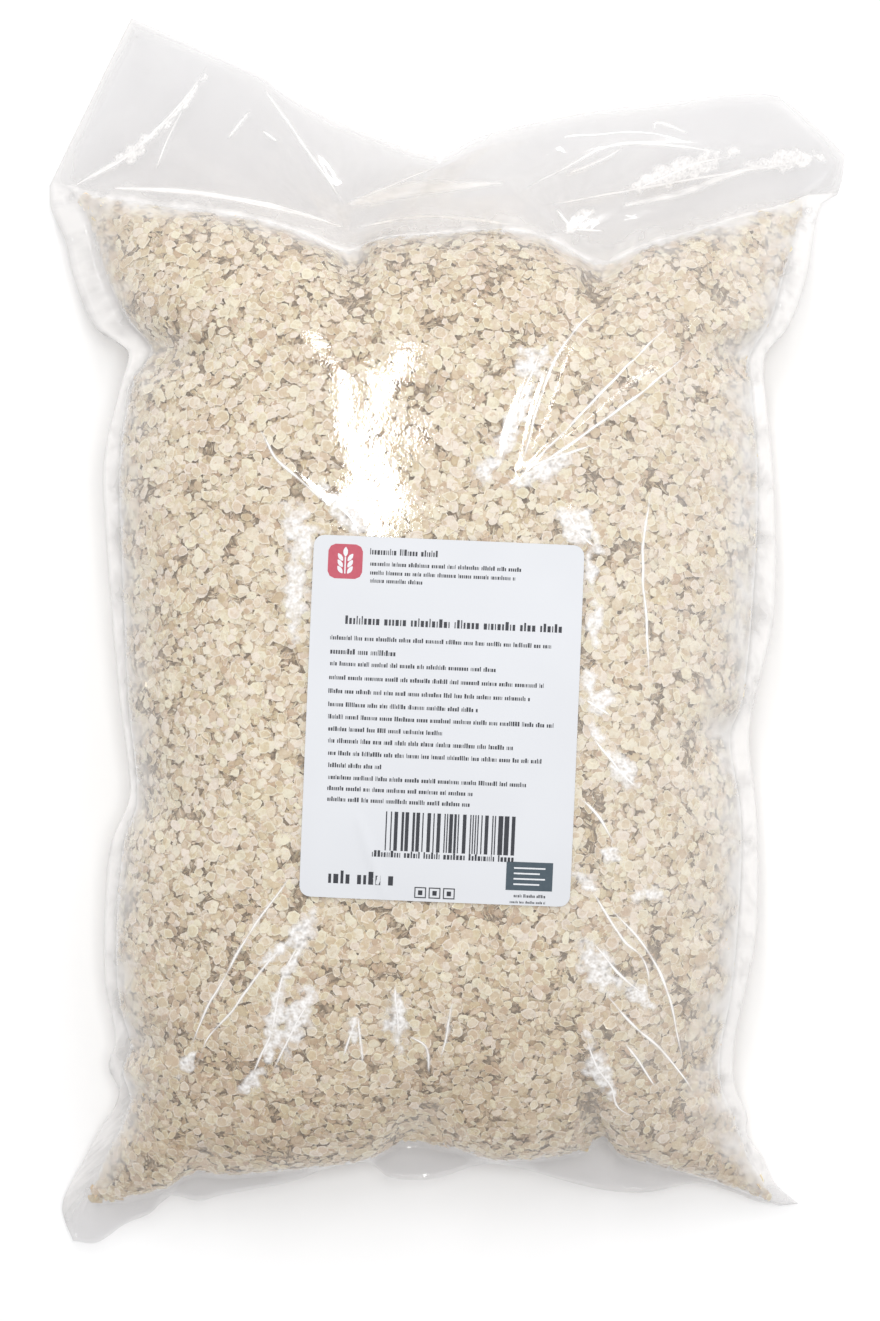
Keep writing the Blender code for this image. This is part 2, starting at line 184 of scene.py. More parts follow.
# Creases of the film over the oats: points on the crest, height, half width
CREASES = [
    ([(25, 64), (52, 84), (94, 115), (119, 137)], 1.4, 2.2),
    ([(30, 69), (50, 89), (82, 123), (108, 149)], 1.2, 2.2),
    ([(34, 75), (45, 114), (55, 135), (74, 157)], 1.6, 2.6),
    ([(25, 75), (30, 96), (47, 139)], 0.9, 2.0),
    ([(32, 75), (52, 82), (71, 89)], 1.4, 4.5),
    ([(96, 71), (91, 34), (93, -3), (94, -26)], 1.0, 2.2),
    ([(-88, 98), (-79, 82), (-66, 70), (-53, 58)], 1.2, 2.2),
    ([(-53, 61), (-43, 52), (-39, 39)], 0.8, 2.0),
    ([(-66, -103), (-85, -130), (-102, -157), (-113, -177), (-122, -201)], 1.4, 2.0),
    ([(-62, -130), (-81, -150), (-98, -173), (-111, -189), (-119, -205)], 1.5, 2.2),
    ([(-64, -136), (-75, -157), (-82, -186), (-95, -214)], 2.0, 5.0),
    ([(-63, -168), (-74, -189), (-82, -206)], 1.4, 3.5),
    ([(-41, -175), (-48, -198)], 0.8, 1.9),
    ([(-41, -176), (-39, -201)], 0.8, 1.9),
    ([(-24, -161), (-22, -189)], 1.2, 3.5),
    ([(-19, -186), (-10, -192), (-8, -206)], 0.8, 2.0),
    ([(4, -168), (0, -186), (-3, -199)], 0.8, 2.0),
    ([(60, -104), (68, -119), (82, -142), (90, -149), (94, -158), (95, -170)], 1.3, 2.0),
    ([(72, -123), (91, -143), (104, -168), (108, -187), (113, -204)], 1.2, 2.0),
    ([(72, -165), (84, -179), (96, -190), (110, -206), (118, -218)], 1.5, 2.2),
    ([(66, -140), (80, -157), (96, -172)], 1.8, 6.0),
    ([(65, -184), (70, -202), (78, -213), (81, -223), (89, -228)], 1.4, 3.0),
    ([(83, -190), (91, -201), (99, -214)], 1.0, 2.0),
    ([(59, -74), (71, -85), (79, -99)], 1.0, 2.0),
    ([(67, -46), (77, -60), (90, -73)], 1.6, 5.0),
    ([(64, -30), (76, -38)], 1.5, 7.0),
    ([(54, 61), (61, 48), (70, 39)], 1.5, 6.0),
]

# Creases of the empty film above the oats
FLAP_CREASES = [
    ([(-183, 217), (-155, 230), (-126, 256), (-113, 275)], 3.0, 3.0),
    ([(-140, 223), (-133, 239), (-125, 254)], 1.2, 2.2),
    ([(-48, 204), (-69, 235), (-90, 265)], 0.8, 2.6),
    ([(-48, 205), (-27, 212), (-3, 220)], 2.0, 3.0),
    ([(35, 211), (54, 220), (82, 233), (139, 230)], 2.4, 3.5),
    ([(42, 204), (82, 211), (144, 223), (182, 229)], 2.2, 3.5),
    ([(56, 218), (73, 225), (85, 232)], 1.4, 2.2),
    ([(87, 211), (120, 225), (142, 230)], 2.6, 5.0),
    ([(-46, 194), (-8, 199), (35, 196)], 1.5, 3.0),
    ([(-88, 241), (-80, 235)], 0.9, 2.0),
    ([(-105, 237), (-93, 251)], 0.9, 2.0),
    ([(-159, 216), (-117, 212), (-50, 196)], 2.0, 3.0),
    ([(-126, 213), (-88, 207), (-46, 194)], 1.4, 2.4),
    ([(61, 194), (52, 204)], 0.8, 1.8),
    ([(61, 194), (71, 204)], 0.8, 1.8),
    ([(61, 194), (76, 193)], 0.8, 1.8),
    ([(99, 239), (100, 244), (116, 239)], 0.8, 2.0),
]

# Patches of painted highlight, where the film's reflections are painted as white haze: middle,
# half length, half width, turn in degrees
GLINT_PATCHES = [
    ((31, 97), 23, 3.2, 67),
    ((40, 126), 9, 4.6, 35),
    ((45, 76), 15, 3.2, 25),
    ((60, 50), 14, 5.0, -45),
    ((18, 75), 7, 2.8, 75),
    ((-47, 57), 16, 3.6, -50),
    ((-67, 46), 15, 5.5, -72),
    ((-70, 20), 22, 3.4, 90),
    ((66, 30), 9, 2.4, 100),
    ((69, 6), 12, 2.6, 85),
    ((66, -22), 8, 2.6, 95),
    ((71, -31), 9, 4.6, 0),
    ((69, -46), 8, 1.8, -60),
    ((81, -62), 10, 4.2, -50),
    ((77, -102), 6, 2.6, -30),
    ((-67, -138), 11, 3.4, 62),
    ((-80, -182), 22, 3.2, 80),
    ((-69, -179), 17, 4.4, 67),
    ((-43, -182), 6, 2.2, 90),
    ((-23, -179), 14, 3.4, 95),
    ((70, -154), 15, 5.0, -66),
    ((88, -167), 12, 3.0, -38),
    ((72, -204), 16, 4.0, -68),
    ((65, -115), 6, 2.6, -40),
    ((94, -121), 9, 2.2, 0),
    ((-76, -145), 14, 1.9, 37),
    ((-73, -155), 12, 1.4, 60),
    ((-92, -210), 10, 2.0, 50),
    ((-122, -202), 6, 2.8, 60),
    ((-151, 233), 13, 2.4, 33),
    ((-126, 254), 15, 1.1, 52),
    ((111, 221), 27, 3.8, 20),
    ((164, 228), 20, 2.8, 9),
    ((63, 198), 9, 2.4, 40),
]

# Painted highlights on the flap, smooth white gleams where the film's reflections are painted:
# points along each, half width
PAINTED_GLEAMS = [
    ([(-46, 205), (-20, 210), (2, 212), (26, 214)], 2.4),
    ([(-179, 219), (-151, 233), (-130, 250), (-112, 272)], 0.9),
    ([(84, 205), (113, 212), (137, 221), (158, 227), (182, 232)], 1.2),
    ([(-160, 216), (-117, 212), (-80, 204), (-50, 195)], 1.0),
]

# Camera straight above the bag, as far away as the photograph's flat perspective asks
CAMERA_PLACE = (-0.0029, -0.0122, 1.745)
CAMERA_LENS = 96.5
SENSOR = 36.0


class OatBagSizes(PropertyGroup):
    """Sizes of the dressing, in metres."""

    film_gap: FloatProperty(
        name="Film gap",
        description="Distance between the two walls of film where nothing is between them",
        default=0.0005,
        unit="LENGTH",
    )
    film_lift: FloatProperty(
        name="Film lift",
        description="Room between the film and the nearest flake",
        default=0.0004,
        unit="LENGTH",
    )
    flake_across: FloatProperty(
        name="Flake size",
        description="Middle size of an oat flake, across",
        default=0.0053,
        unit="LENGTH",
    )
    flake_thickness: FloatProperty(
        name="Flake thickness",
        description="Thickness of an oat flake",
        default=0.0007,
        unit="LENGTH",
    )
    core_depth: FloatProperty(
        name="Core depth",
        description="How far under the film the unseen mass of oats starts",
        default=0.0034,
        unit="LENGTH",
    )
    label_width: FloatProperty(
        name="Label width",
        description="Width of the paper label",
        default=0.125,
        unit="LENGTH",
    )
    label_length: FloatProperty(
        name="Label length",
        description="Length of the paper label",
        default=0.167,
        unit="LENGTH",
    )
    label_corner: FloatProperty(
        name="Label corner",
        description="Radius of the label's corners",
        default=0.005,
        unit="LENGTH",
    )
    paper_thickness: FloatProperty(
        name="Paper thickness",
        description="Thickness of the label's paper",
        default=0.00016,
        unit="LENGTH",
    )
    seed: IntProperty(
        name="Seed",
        description="Start of every random draw",
        default=5,
    )


class OatBagColours(PropertyGroup):
    """Colours of the dressing."""

    flake_pale: FloatVectorProperty(
        name="Pale flake",
        description="Colour of the lightest, floury flakes",
        subtype="COLOR",
        size=3,
        default=(0.93, 0.88, 0.78),
    )
    flake_middle: FloatVectorProperty(
        name="Middle flake",
        description="Colour of most flakes",
        subtype="COLOR",
        size=3,
        default=(0.74, 0.625, 0.465),
    )
    flake_toasted: FloatVectorProperty(
        name="Toasted flake",
        description="Colour of the darkest flakes and of bran",
        subtype="COLOR",
        size=3,
        default=(0.58, 0.43, 0.30),
    )
    # Darker than the flakes: painted shade of the oats deep in the bag
    core: FloatVectorProperty(
        name="Core",
        description="Colour of the oats deep in the bag",
        subtype="COLOR",
        size=3,
        default=(0.50, 0.40, 0.285),
    )
    film: FloatVectorProperty(
        name="Film",
        description="Tint of light through one wall of film",
        subtype="COLOR",
        size=3,
        default=(0.941, 0.938, 0.940),
    )
    paper: FloatVectorProperty(
        name="Paper",
        description="Colour of the label's paper",
        subtype="COLOR",
        size=3,
        default=(0.70, 0.713, 0.74),
    )
    ink: FloatVectorProperty(
        name="Ink",
        description="Colour of the label's dark print",
        subtype="COLOR",
        size=3,
        default=(0.035, 0.037, 0.045),
    )
    slate_ink: FloatVectorProperty(
        name="Slate ink",
        description="Colour of the small rectangle on the label",
        subtype="COLOR",
        size=3,
        default=(0.06, 0.085, 0.105),
    )
    red_ink: FloatVectorProperty(
        name="Red ink",
        description="Colour of the small tile on the label",
        subtype="COLOR",
        size=3,
        default=(0.46, 0.08, 0.115),
    )
    floor: FloatVectorProperty(
        name="Floor",
        description="Colour of the floor",
        subtype="COLOR",
        size=3,
        default=(1.0, 1.0, 1.0),
    )


def sizes():
    """The sizes that the user has set."""
    return bpy.context.scene.oat_bag_sizes


def colours():
    """The colours that the user has set."""
    return bpy.context.scene.oat_bag_colours


# Form of the bag

END_SQUARENESS = 0.55
CORNER_THINNING = 0.35
CROWDING = 0.6                # 0 for even rows of points, 1 for those of a half circle
FOLD_FADE = 0.75              # share of a fold's depth that is gone at its end
GATHER_ROOM = 5.0
RAY_LENGTH = 60.0
PLEAT_HEIGHT = 2.2
PLEAT_SIZES = (11, 70)
PLEAT_REACH = (0.16, 0.12)    # shares of the bag from its sides and from its ends
CALM_DEGREE = 4
CALM_REACH = 0.22             # share of the bag over which the outline's pinches die out
RIPPLE = (0.9, 26.0)          # height and size of the waves in the film's welded border


def smooth_step(value):
    """0 below 0, 1 above 1, and a soft S between."""
    value = np.clip(value, 0, 1)
    return value * value * (3 - 2 * value)


def smooth_curve(points, shares, share):
    """Points at given shares of a soft curve through a table of points."""
    table = np.array(points, float)
    last = len(table) - 1
    share = np.clip(share, 0, 1)
    k = np.clip(np.searchsorted(shares, share) - 1, 0, last - 1)
    low = np.maximum(np.arange(last + 1) - 1, 0)
    high = np.minimum(np.arange(last + 1) + 1, last)
    slopes = (table[high] - table[low]) / (shares[high] - shares[low])[:, None]
    span = (shares[k + 1] - shares[k])[:, None]
    s = (share - shares[k])[:, None] / span
    return (
        (2 * s**3 - 3 * s**2 + 1) * table[k]
        + (s**3 - 2 * s**2 + s) * span * slopes[k]
        + (3 * s**2 - 2 * s**3) * table[k + 1]
        + (s**3 - s**2) * span * slopes[k + 1]
    )


def edge_curve(points, along):
    """A function from shares of an edge to its points. along is 0 across the bag, 1 up it."""
    measure = np.array(points, float)[:, along]
    shares = (measure - measure[0]) / (measure[-1] - measure[0])
    return lambda share: smooth_curve(points, shares, share)


def patch(edges, u, v):
    """Points of the surface that fills four edges: bottom, top, left and right."""
    bottom, top, left, right = edges
    across, up = u[:, None], v[:, None]
    ends = np.array([0.0, 1.0])
    low, high = bottom(ends), top(ends)
    ruled = bottom(u) * (1 - up) + top(u) * up + left(v) * (1 - across) + right(v) * across
    corners = (low[0] * (1 - across) + low[1] * across) * (1 - up)
    corners += (high[0] * (1 - across) + high[1] * across) * up
    return ruled - corners


OATS_EDGES = (
    edge_curve(OATS_BOTTOM, 0),
    edge_curve(OATS_TOP, 0),
    edge_curve(OATS_LEFT, 1),
    edge_curve(OATS_RIGHT, 1),
)
MOUTH_EDGE = edge_curve(FILM_MOUTH, 0)


def mouth_inner(share):
    """The empty film's upper edge, just inside the band that closes the mouth."""
    inner = MOUTH_EDGE(share) - np.array((0, MOUTH_WELD_WIDTH, 0))
    start, end = np.array(EMPTY_LEFT[-1]), np.array(EMPTY_RIGHT[-1])
    first = smooth_step(share / MOUTH_CORNER_SHARE)[:, None]
    last = smooth_step((1 - share) / MOUTH_CORNER_SHARE)[:, None]
    inner = start * (1 - first) + inner * first
    return end * (1 - last) + inner * last


EMPTY_EDGES = (
    edge_curve(OATS_TOP, 0),
    mouth_inner,
    edge_curve(EMPTY_LEFT, 1),
    edge_curve(EMPTY_RIGHT, 1),
)


def seam_height(u, v):
    """Height of the seam, taken from whichever edges are near."""
    bottom, top, left, right = OATS_EDGES
    near = [(u, left(v)), (1 - u, right(v)), (v, bottom(u)), (1 - v, top(u))]
    weights = [1 / np.maximum(distance, 1e-5) ** 1.5 for distance, edge in near]
    return sum(w * edge[:, 2] for w, (distance, edge) in zip(weights, near)) / sum(weights)


def fullness(u, v, across_power, along_power):
    """0 at the seam and 1 over the middle of the pillow, thin in its four corners."""
    x, y = np.abs(2 * u - 1), np.abs(2 * v - 1)
    across = np.sqrt(np.maximum(0, 1 - x**across_power))
    along = np.maximum(0, 1 - y**along_power) ** END_SQUARENESS
    return across * along * (1 - CORNER_THINNING * x**8 * y**8)


def noise_at(place, size, salt=0.0):
    """Smooth noise, about -1 to 1, at each place, with lumps of a size or (x, y) sizes in mm."""
    wide, high = size if isinstance(size, tuple) else (size, size)
    pairs = zip((place[:, 0] / wide).tolist(), (place[:, 1] / high).tolist())
    return np.array([noise.noise((x, y, salt)) for x, y in pairs])


def fan(place, fineness, salt):
    """Noise in streaks that fan out from where the mouth is gathered, about -1 to 1."""
    total, weight = np.zeros(len(place)), np.zeros(len(place))
    for number, (x, y) in enumerate(GATHERED):
        dx, dy = place[:, 0] - x, place[:, 1] - y
        reach = np.hypot(dx, dy) + GATHER_ROOM
        rays = np.stack([np.arctan2(dx, dy) * fineness, reach / RAY_LENGTH], 1)
        total += noise_at(rays, 1.0, salt + number) / reach**2
        weight += 1 / reach**2
    return total / weight


def ridge(place, start, end, height, half_width):
    """Height that a straight fold adds at each place, fading towards its end."""
    run = np.subtract(end, start).astype(float)
    share = (place[:, :2] - start) @ run / (run @ run)
    near = start + np.clip(share, 0, 1)[:, None] * run
    off = np.hypot(*(place[:, :2] - near).T) / half_width
    return height * (1 - FOLD_FADE * smooth_step(share)) * np.exp(-off * off)


def label_frame(place):
    """Places in the label's own millimetres, from its middle."""
    turn = math.radians(-LABEL_TURN)
    dx, dy = place[:, 0] - LABEL_CENTRE[0], place[:, 1] - LABEL_CENTRE[1]
    return dx * math.cos(turn) - dy * math.sin(turn), dx * math.sin(turn) + dy * math.cos(turn)


def off_label(place, margin=-1.0, fade=3.0):
    """0 under the label and 1 from a margin and a fade beyond its edge on."""
    x, y = label_frame(place)
    over = np.maximum(
        np.abs(x) - sizes().label_width / MM / 2,
        np.abs(y) - sizes().label_length / MM / 2,
    )
    return smooth_step((over - margin) / fade)


def calm_curve(points, value, along):
    """A plain curve that runs along an edge and forgets its pinches."""
    table = np.array(points, float)
    shares = (table[:, along] - table[0, along]) / (table[-1, along] - table[0, along])
    return np.polynomial.Polynomial.fit(shares, table[:, value], CALM_DEGREE)


CALM_LEFT = calm_curve(OATS_LEFT, 0, 1)
CALM_RIGHT = calm_curve(OATS_RIGHT, 0, 1)
CALM_BOTTOM = calm_curve(OATS_BOTTOM, 1, 0)
CALM_TOP = calm_curve(OATS_TOP, 1, 0)


def calm_shares(place, u, v):
    """Shares across and up the bag that forget the outline's pinches over its middle."""
    inside = smooth_step(np.minimum(np.minimum(u, 1 - u), np.minimum(v, 1 - v)) / CALM_REACH)
    across = (place[:, 0] - CALM_LEFT(v)) / (CALM_RIGHT(v) - CALM_LEFT(v))
    up = (place[:, 1] - CALM_BOTTOM(u)) / (CALM_TOP(u) - CALM_BOTTOM(u))
    return u + (across - u) * inside, v + (up - v) * inside


def filled_surface(u, v, side):
    """The oats' outer surface. side is 1 for the shown wall and -1 for the one it lies on."""
    place = patch(OATS_EDGES, u, v)
    seam = seam_height(u, v)
    u, v = calm_shares(place, u, v)
    half_gap = sizes().film_gap / MM / 2
    back_full = np.minimum(1, BACK_PRESSED * fullness(u, v, *BACK_SQUARENESS))
    back = np.maximum(0, (seam - half_gap) * (1 - back_full))
    full = fullness(u, v, *SHOWN_SQUARENESS)
    crown = CROWN_HEIGHT - CROWN_SAG * smooth_step(np.abs(v - CROWN_SHARE) / CROWN_REACH)
    lumps = sum(noise_at(place, size) * high for size, high in LUMPS)
    front = seam + half_gap + (crown - seam) * full
    front += lumps * smooth_step(full / 0.5) * off_label(place, *CALM)
    for start, end, depth, half_width in FOLDS:
        front -= ridge(place, start, end, depth, half_width) * smooth_step(full / 0.35)
    front = np.maximum(front, seam + half_gap) + pleats(place, u, v, full)
    place[:, 2] = np.where(side > 0, front, back)
    return place


def pleats(place, u, v, full):
    """Small gathers of the film square to each seam, which the oats behind it follow."""
    by_side = 1 - smooth_step(np.minimum(u, 1 - u) / PLEAT_REACH[0])
    by_end = 1 - smooth_step(np.minimum(v, 1 - v) / PLEAT_REACH[1])
    gather = noise_at(place, PLEAT_SIZES[::-1], 3.0) * by_side
    gather += noise_at(place, PLEAT_SIZES, 7.0) * by_end
    return PLEAT_HEIGHT * gather * smooth_step(full / 0.3)


def smooth_line(points, per_run=6):
    """More points on a soft curve through a short list of points."""
    table = np.array(points, float)
    lengths = np.hypot(*np.diff(table, axis=0).T)
    shares = np.concatenate([[0], np.cumsum(lengths)]) / lengths.sum()
    count = per_run * (len(table) - 1) + 1
    return smooth_curve(table, shares, np.linspace(0, 1, count))


def line_distance(place, line):
    """Distance of each place from a line, and the share of the line at which it is nearest."""
    runs = np.diff(line, axis=0)
    lengths = np.hypot(*runs.T)
    travelled = np.concatenate([[0], np.cumsum(lengths)])
    best = np.full(len(place), np.inf)
    share_at = np.zeros(len(place))
    for start, run, length, before in zip(line, runs, lengths, travelled):
        share = np.clip((place[:, :2] - start) @ run / length**2, 0, 1)
        off = np.hypot(*(place[:, :2] - start - share[:, None] * run).T)
        closer = off < best
        best[closer] = off[closer]
        share_at[closer] = ((before + share * length) / travelled[-1])[closer]
    return best, share_at


def near_line(places, points, margin):
    """Which places lie in a box round a line."""
    low, high = np.min(points, 0) - margin, np.max(points, 0) + margin
    return np.all((places[:, :2] > low) & (places[:, :2] < high), axis=1)


def strayed(place, reach):
    """Places moved to and fro a little, so that no crease runs quite straight."""
    wander = np.stack([noise_at(place, 14.0, 11.0), noise_at(place, 14.0, 23.0)], 1)
    return place[:, :2] + reach * wander


def crease_relief(place, creases, reach):
    """Height that sharp creases add, each dying out at its ends."""
    moved = strayed(place, reach)
    height = np.zeros(len(place))
    for points, high, half_width in creases:
        half_width = half_width + CREASE_SOFTENING
        line = smooth_line(points)
        near = near_line(moved, line, 4 * half_width)
        if not near.any():
            continue
        off, share = line_distance(moved[near], line)
        fade = np.sin(np.pi * share).clip(0, 1) ** 0.8
        crest = np.exp(-((off / half_width) ** 2))
        height[near] += CREASE_SHARE * high * fade * crest
    return height


def crowd(share):
    """Crowds even shares a little towards both ends, where the bag curves most."""
    round_side = (1 - np.cos(np.pi * share)) / 2
    return share + (round_side - share) * CROWDING


def wall_surface(across, up, side):
    """Points of the film. up runs from 0 to 1 over the oats and on to 2 over the empty part."""
    u = crowd(across)
    filled = up <= 1
    place = np.zeros((len(u), 3))
    place[filled] = filled_film(u[filled], crowd(up[filled]), side[filled])
    place[~filled] = empty_film(u[~filled], up[~filled] - 1, side[~filled])
    return place


def filled_film(u, v, side):
    """The film over the oats: their surface, a little room, and the creases."""
    place = filled_surface(u, v, side)
    full = fullness(u, v, *SHOWN_SQUARENESS)
    away = smooth_step(full / 0.3) * (side > 0)
    relief = crease_relief(place, CREASES, CREASE_WANDER) * off_label(place)
    place[:, 2] += away * (sizes().film_lift / MM + relief)
    return place


def empty_film(u, w, side):
    """The empty film above the oats, w from the oats to the mouth."""
    place = patch(EMPTY_EDGES, u, w)
    inside = np.sin(np.pi * np.clip(w, 0, 1)) * np.sin(np.pi * np.clip(u, 0, 1)) ** 0.5
    fold = sum(ridge(place, *each) for each in FLAP_FOLDS)
    soft = 0.7 * noise_at(place, 30.0, 31.0) + 0.8 * fan(place, 4.5, 43.0)
    creases = crease_relief(place, FLAP_CREASES, FLAP_WANDER) * np.where(side > 0, 1.0, -0.35)
    half_gap = sizes().film_gap / MM / 2
    place[:, 2] += (fold + soft) * inside + creases * inside**0.5
    place[:, 2] += side * (half_gap + FLAP_PUFF * inside)
    return place


def rim_point(across, up):
    """The film's outer edge opposite each border point of the grid."""
    u = crowd(across)
    rim = np.zeros((len(u), 3))
    choices = [
        (up <= 0, edge_curve(FILM_BOTTOM, 0), u),
        (up >= 2, MOUTH_EDGE, u),
        ((up > 0) & (up <= 1) & (across < 0.5), edge_curve(FILM_LEFT, 1), crowd(up)),
        ((up > 0) & (up <= 1) & (across > 0.5), edge_curve(FILM_RIGHT, 1), crowd(up)),
        ((up > 1) & (up < 2) & (across < 0.5), edge_curve(WELD_LEFT, 1), up - 1),
        ((up > 1) & (up < 2) & (across > 0.5), edge_curve(WELD_RIGHT, 1), up - 1),
    ]
    for chosen, edge, share in choices:
        if chosen.any():
            rim[chosen] = edge(share[chosen])
    return rim


def film_points(across, up, band, side):
    """Points of the whole film, out to the rim where band is 1."""
    place = wall_surface(across, up, side)
    border = band > 0
    seam = place[border]
    half_gap = sizes().film_gap / MM / 2
    share = band[border][:, None]
    flat = seam * (1 - share) + rim_point(across[border], up[border]) * share
    ripple = RIPPLE[0] * noise_at(flat, RIPPLE[1], 41.0)
    flat[:, 2] += ripple * np.sin(np.pi * band[border] * 0.6)
    flat[:, 2] = np.maximum(flat[:, 2] + side[border] * half_gap * band[border], 0)
    place[border] = flat
    return place


# Building the film

CREASE_WANDER = 0.9           # how far a crease strays from its smooth line
FLAP_WANDER = 0.3
CREASE_SHARE = 0.6            # share of each crease's height that the film takes
CREASE_SOFTENING = 0.6
CREST_HIGHLIGHT_WIDTH = 0.46            # half width of the painted highlight on a crease
FINER_WITHIN = (4.6, 2.1, 0.9)    # each splits the film once more this near to a crease
GLINT_PATCH_DETAIL = 3.0          # distance that stands for a painted glint patch when the mesh is refined
GLINT_PATCH_WIDTH = 1.5           # a glint patch's border against its half width in the table
GLINT_PATCH_LIMIT = 1.7           # how far out a patch reaches with its ragged border
LINE_ROOM = 8.0               # room round a line where its distance is looked for
CREASE_SETS = [(CREASES, CREASE_WANDER), (FLAP_CREASES, FLAP_WANDER)]

FILM_COLUMNS = 60
FILM_ROWS = 94
FLAP_ROWS = 20
BAND_RINGS = 2
LAYERS = ("across", "up", "band", "side")


def film_wall(side):
    """One wall of film as a grid with a band drawn out of its border, not yet in shape."""
    rows = FILM_ROWS + FLAP_ROWS
    mesh = bmesh.new()
    across, up, band, facing = [mesh.verts.layers.float.new(name) for name in LAYERS]
    bmesh.ops.create_grid(mesh, x_segments=FILM_COLUMNS, y_segments=rows, size=1.0)
    for vertex in mesh.verts:
        row = round((vertex.co.y + 1) / 2 * rows)
        vertex[across] = (vertex.co.x + 1) / 2
        vertex[up] = min(row / FILM_ROWS, 1) + max(row - FILM_ROWS, 0) / FLAP_ROWS
        vertex[facing] = side
        vertex.co.z = side
    for ring in range(1, BAND_RINGS + 1):
        border = [edge for edge in mesh.edges if edge.is_boundary]
        drawn = bmesh.ops.extrude_edge_only(mesh, edges=border)["geom"]
        for vertex in drawn:
            if isinstance(vertex, bmesh.types.BMVert):
                vertex[band] = ring / BAND_RINGS
                vertex.co.x *= 1.05
                vertex.co.y *= 1.05
    if side < 0:
        bmesh.ops.reverse_faces(mesh, faces=mesh.faces[:])
    return mesh


def read_layers(mesh):
    """The film's own coordinates of every vertex, one array for each layer."""
    columns = []
    for name in LAYERS:
        layer = mesh.verts.layers.float[name]
        columns.append(np.array([vertex[layer] for vertex in mesh.verts]))
    return columns


def shape_film(mesh):
    """Moves every vertex to its place on the film."""
    places = film_points(*read_layers(mesh)) * MM
    for vertex, place in zip(mesh.verts, places):
        vertex.co = place


def refine(mesh, wanted):
    """Splits the edges whose two ends are both wanted."""
    mesh.verts.index_update()
    edges = [e for e in mesh.edges if wanted[e.verts[0].index] and wanted[e.verts[1].index]]
    bmesh.ops.subdivide_edges(mesh, edges=edges, cuts=1, use_grid_fill=True)


def crease_distance(flat):
    """Distance of each place, in millimetres, from the nearest crease."""
    nearest = np.full(len(flat), np.inf)
    for creases, reach in CREASE_SETS:
        moved = strayed(flat, reach)
        for points, *_ in creases:
            near = near_line(moved, points, LINE_ROOM)
            off = line_distance(moved[near], smooth_line(points, 3))[0]
            nearest[near] = np.minimum(nearest[near], off)
    return nearest


def glint_patch_reach(flat, middle, half_long, half_wide, turn):
    """How far out each place lies in a painted glint patch: 0 in its middle, 1 at its border."""
    cos, sin = math.cos(math.radians(turn)), math.sin(math.radians(turn))
    dx, dy = flat[:, 0] - middle[0], flat[:, 1] - middle[1]
    along, across = dx * cos + dy * sin, dy * cos - dx * sin
    narrow = GLINT_PATCH_WIDTH * half_wide * (1 - 0.5 * np.clip(np.abs(along) / half_long, 0, 1))
    return np.hypot(along / half_long, across / narrow)


def painted_glints(flat):
    """How much painted highlight each place gets: most in the middle of each patch, none outside.
    """
    glint = np.zeros(len(flat))
    for each in GLINT_PATCHES:
        reach = glint_patch_reach(flat, *each)
        near = reach < 2.0
        ragged = 0.9 * noise_at(flat[near], 4.5, 91.0)
        glint[near] = np.maximum(glint[near], smooth_step((1.35 - reach[near] + ragged) / 0.75))
    return glint


def needed_detail(flat):
    """How near each place is to something fine, in millimetres."""
    nearest = crease_distance(flat)
    for points, half_width in PAINTED_GLEAMS:
        near = np.flatnonzero(near_line(flat, points, LINE_ROOM))
        off = line_distance(flat[near], smooth_line(points, 3))[0]
        inside = near[off < half_width + 0.8]
        nearest[inside] = np.minimum(nearest[inside], GLINT_PATCH_DETAIL)
    for each in GLINT_PATCHES:
        inside = glint_patch_reach(flat, *each) < GLINT_PATCH_LIMIT
        nearest[inside] = np.minimum(nearest[inside], GLINT_PATCH_DETAIL)
    return nearest


def dust_cover(flat, across, up, band):
    """How floury or milky the film is: most along the oats' upper edge and down its two sides."""
    oats = up < 1.02
    by_top = np.exp(-((up - 1.0) / 0.035) ** 2) + 0.5 * np.exp(-((up - 1.06) / 0.10) ** 2)
    off_corner = smooth_step((up + 0.02) / 0.10)
    by_side = np.exp(-(np.minimum(across, 1 - across) / 0.09) ** 2) * oats * off_corner
    by_right = 0.42 * smooth_step((across - 0.5) / 0.45) * oats
    by_weld = np.where(across < 0.5, 0.75, 0.45) * band * smooth_step((up - 0.02) / 0.1)
    uneven = 0.75 + 0.7 * noise_at(flat, 13.0, 71.0) + 0.4 * noise_at(flat, 4.0, 73.0)
    cover = (by_top + by_side + by_right) * uneven + by_weld
    flap = smooth_step((up - 1.0) / 0.15)
    layer = np.array(LOWER_LAYER, float)
    edge = np.interp(flat[:, 0], layer[:, 0], layer[:, 1], left=0.0)
    doubled = smooth_step((edge - flat[:, 1]) / 2.5 + 0.5)
    streaks = smooth_step((fan(flat, 5.0, 47.0) + 0.15) / 0.5)
    return np.clip(cover + flap * (0.12 * doubled + 0.16 * streaks), 0, 1.4)


def crest_highlight_line(moved, points):
    """A thin line of painted highlight along one crease, thinnest at its ends."""
    off, share = line_distance(moved, smooth_line(points))
    fade = smooth_step(np.minimum(share, 1 - share) / 0.25)
    half_width = CREST_HIGHLIGHT_WIDTH * (0.6 + 0.4 * np.sin(np.pi * share))
    uneven = 0.85 + 0.8 * noise_at(moved, 9.0, 83.0)
    return 1.5 * fade * uneven * np.exp(-((off / half_width) ** 2))


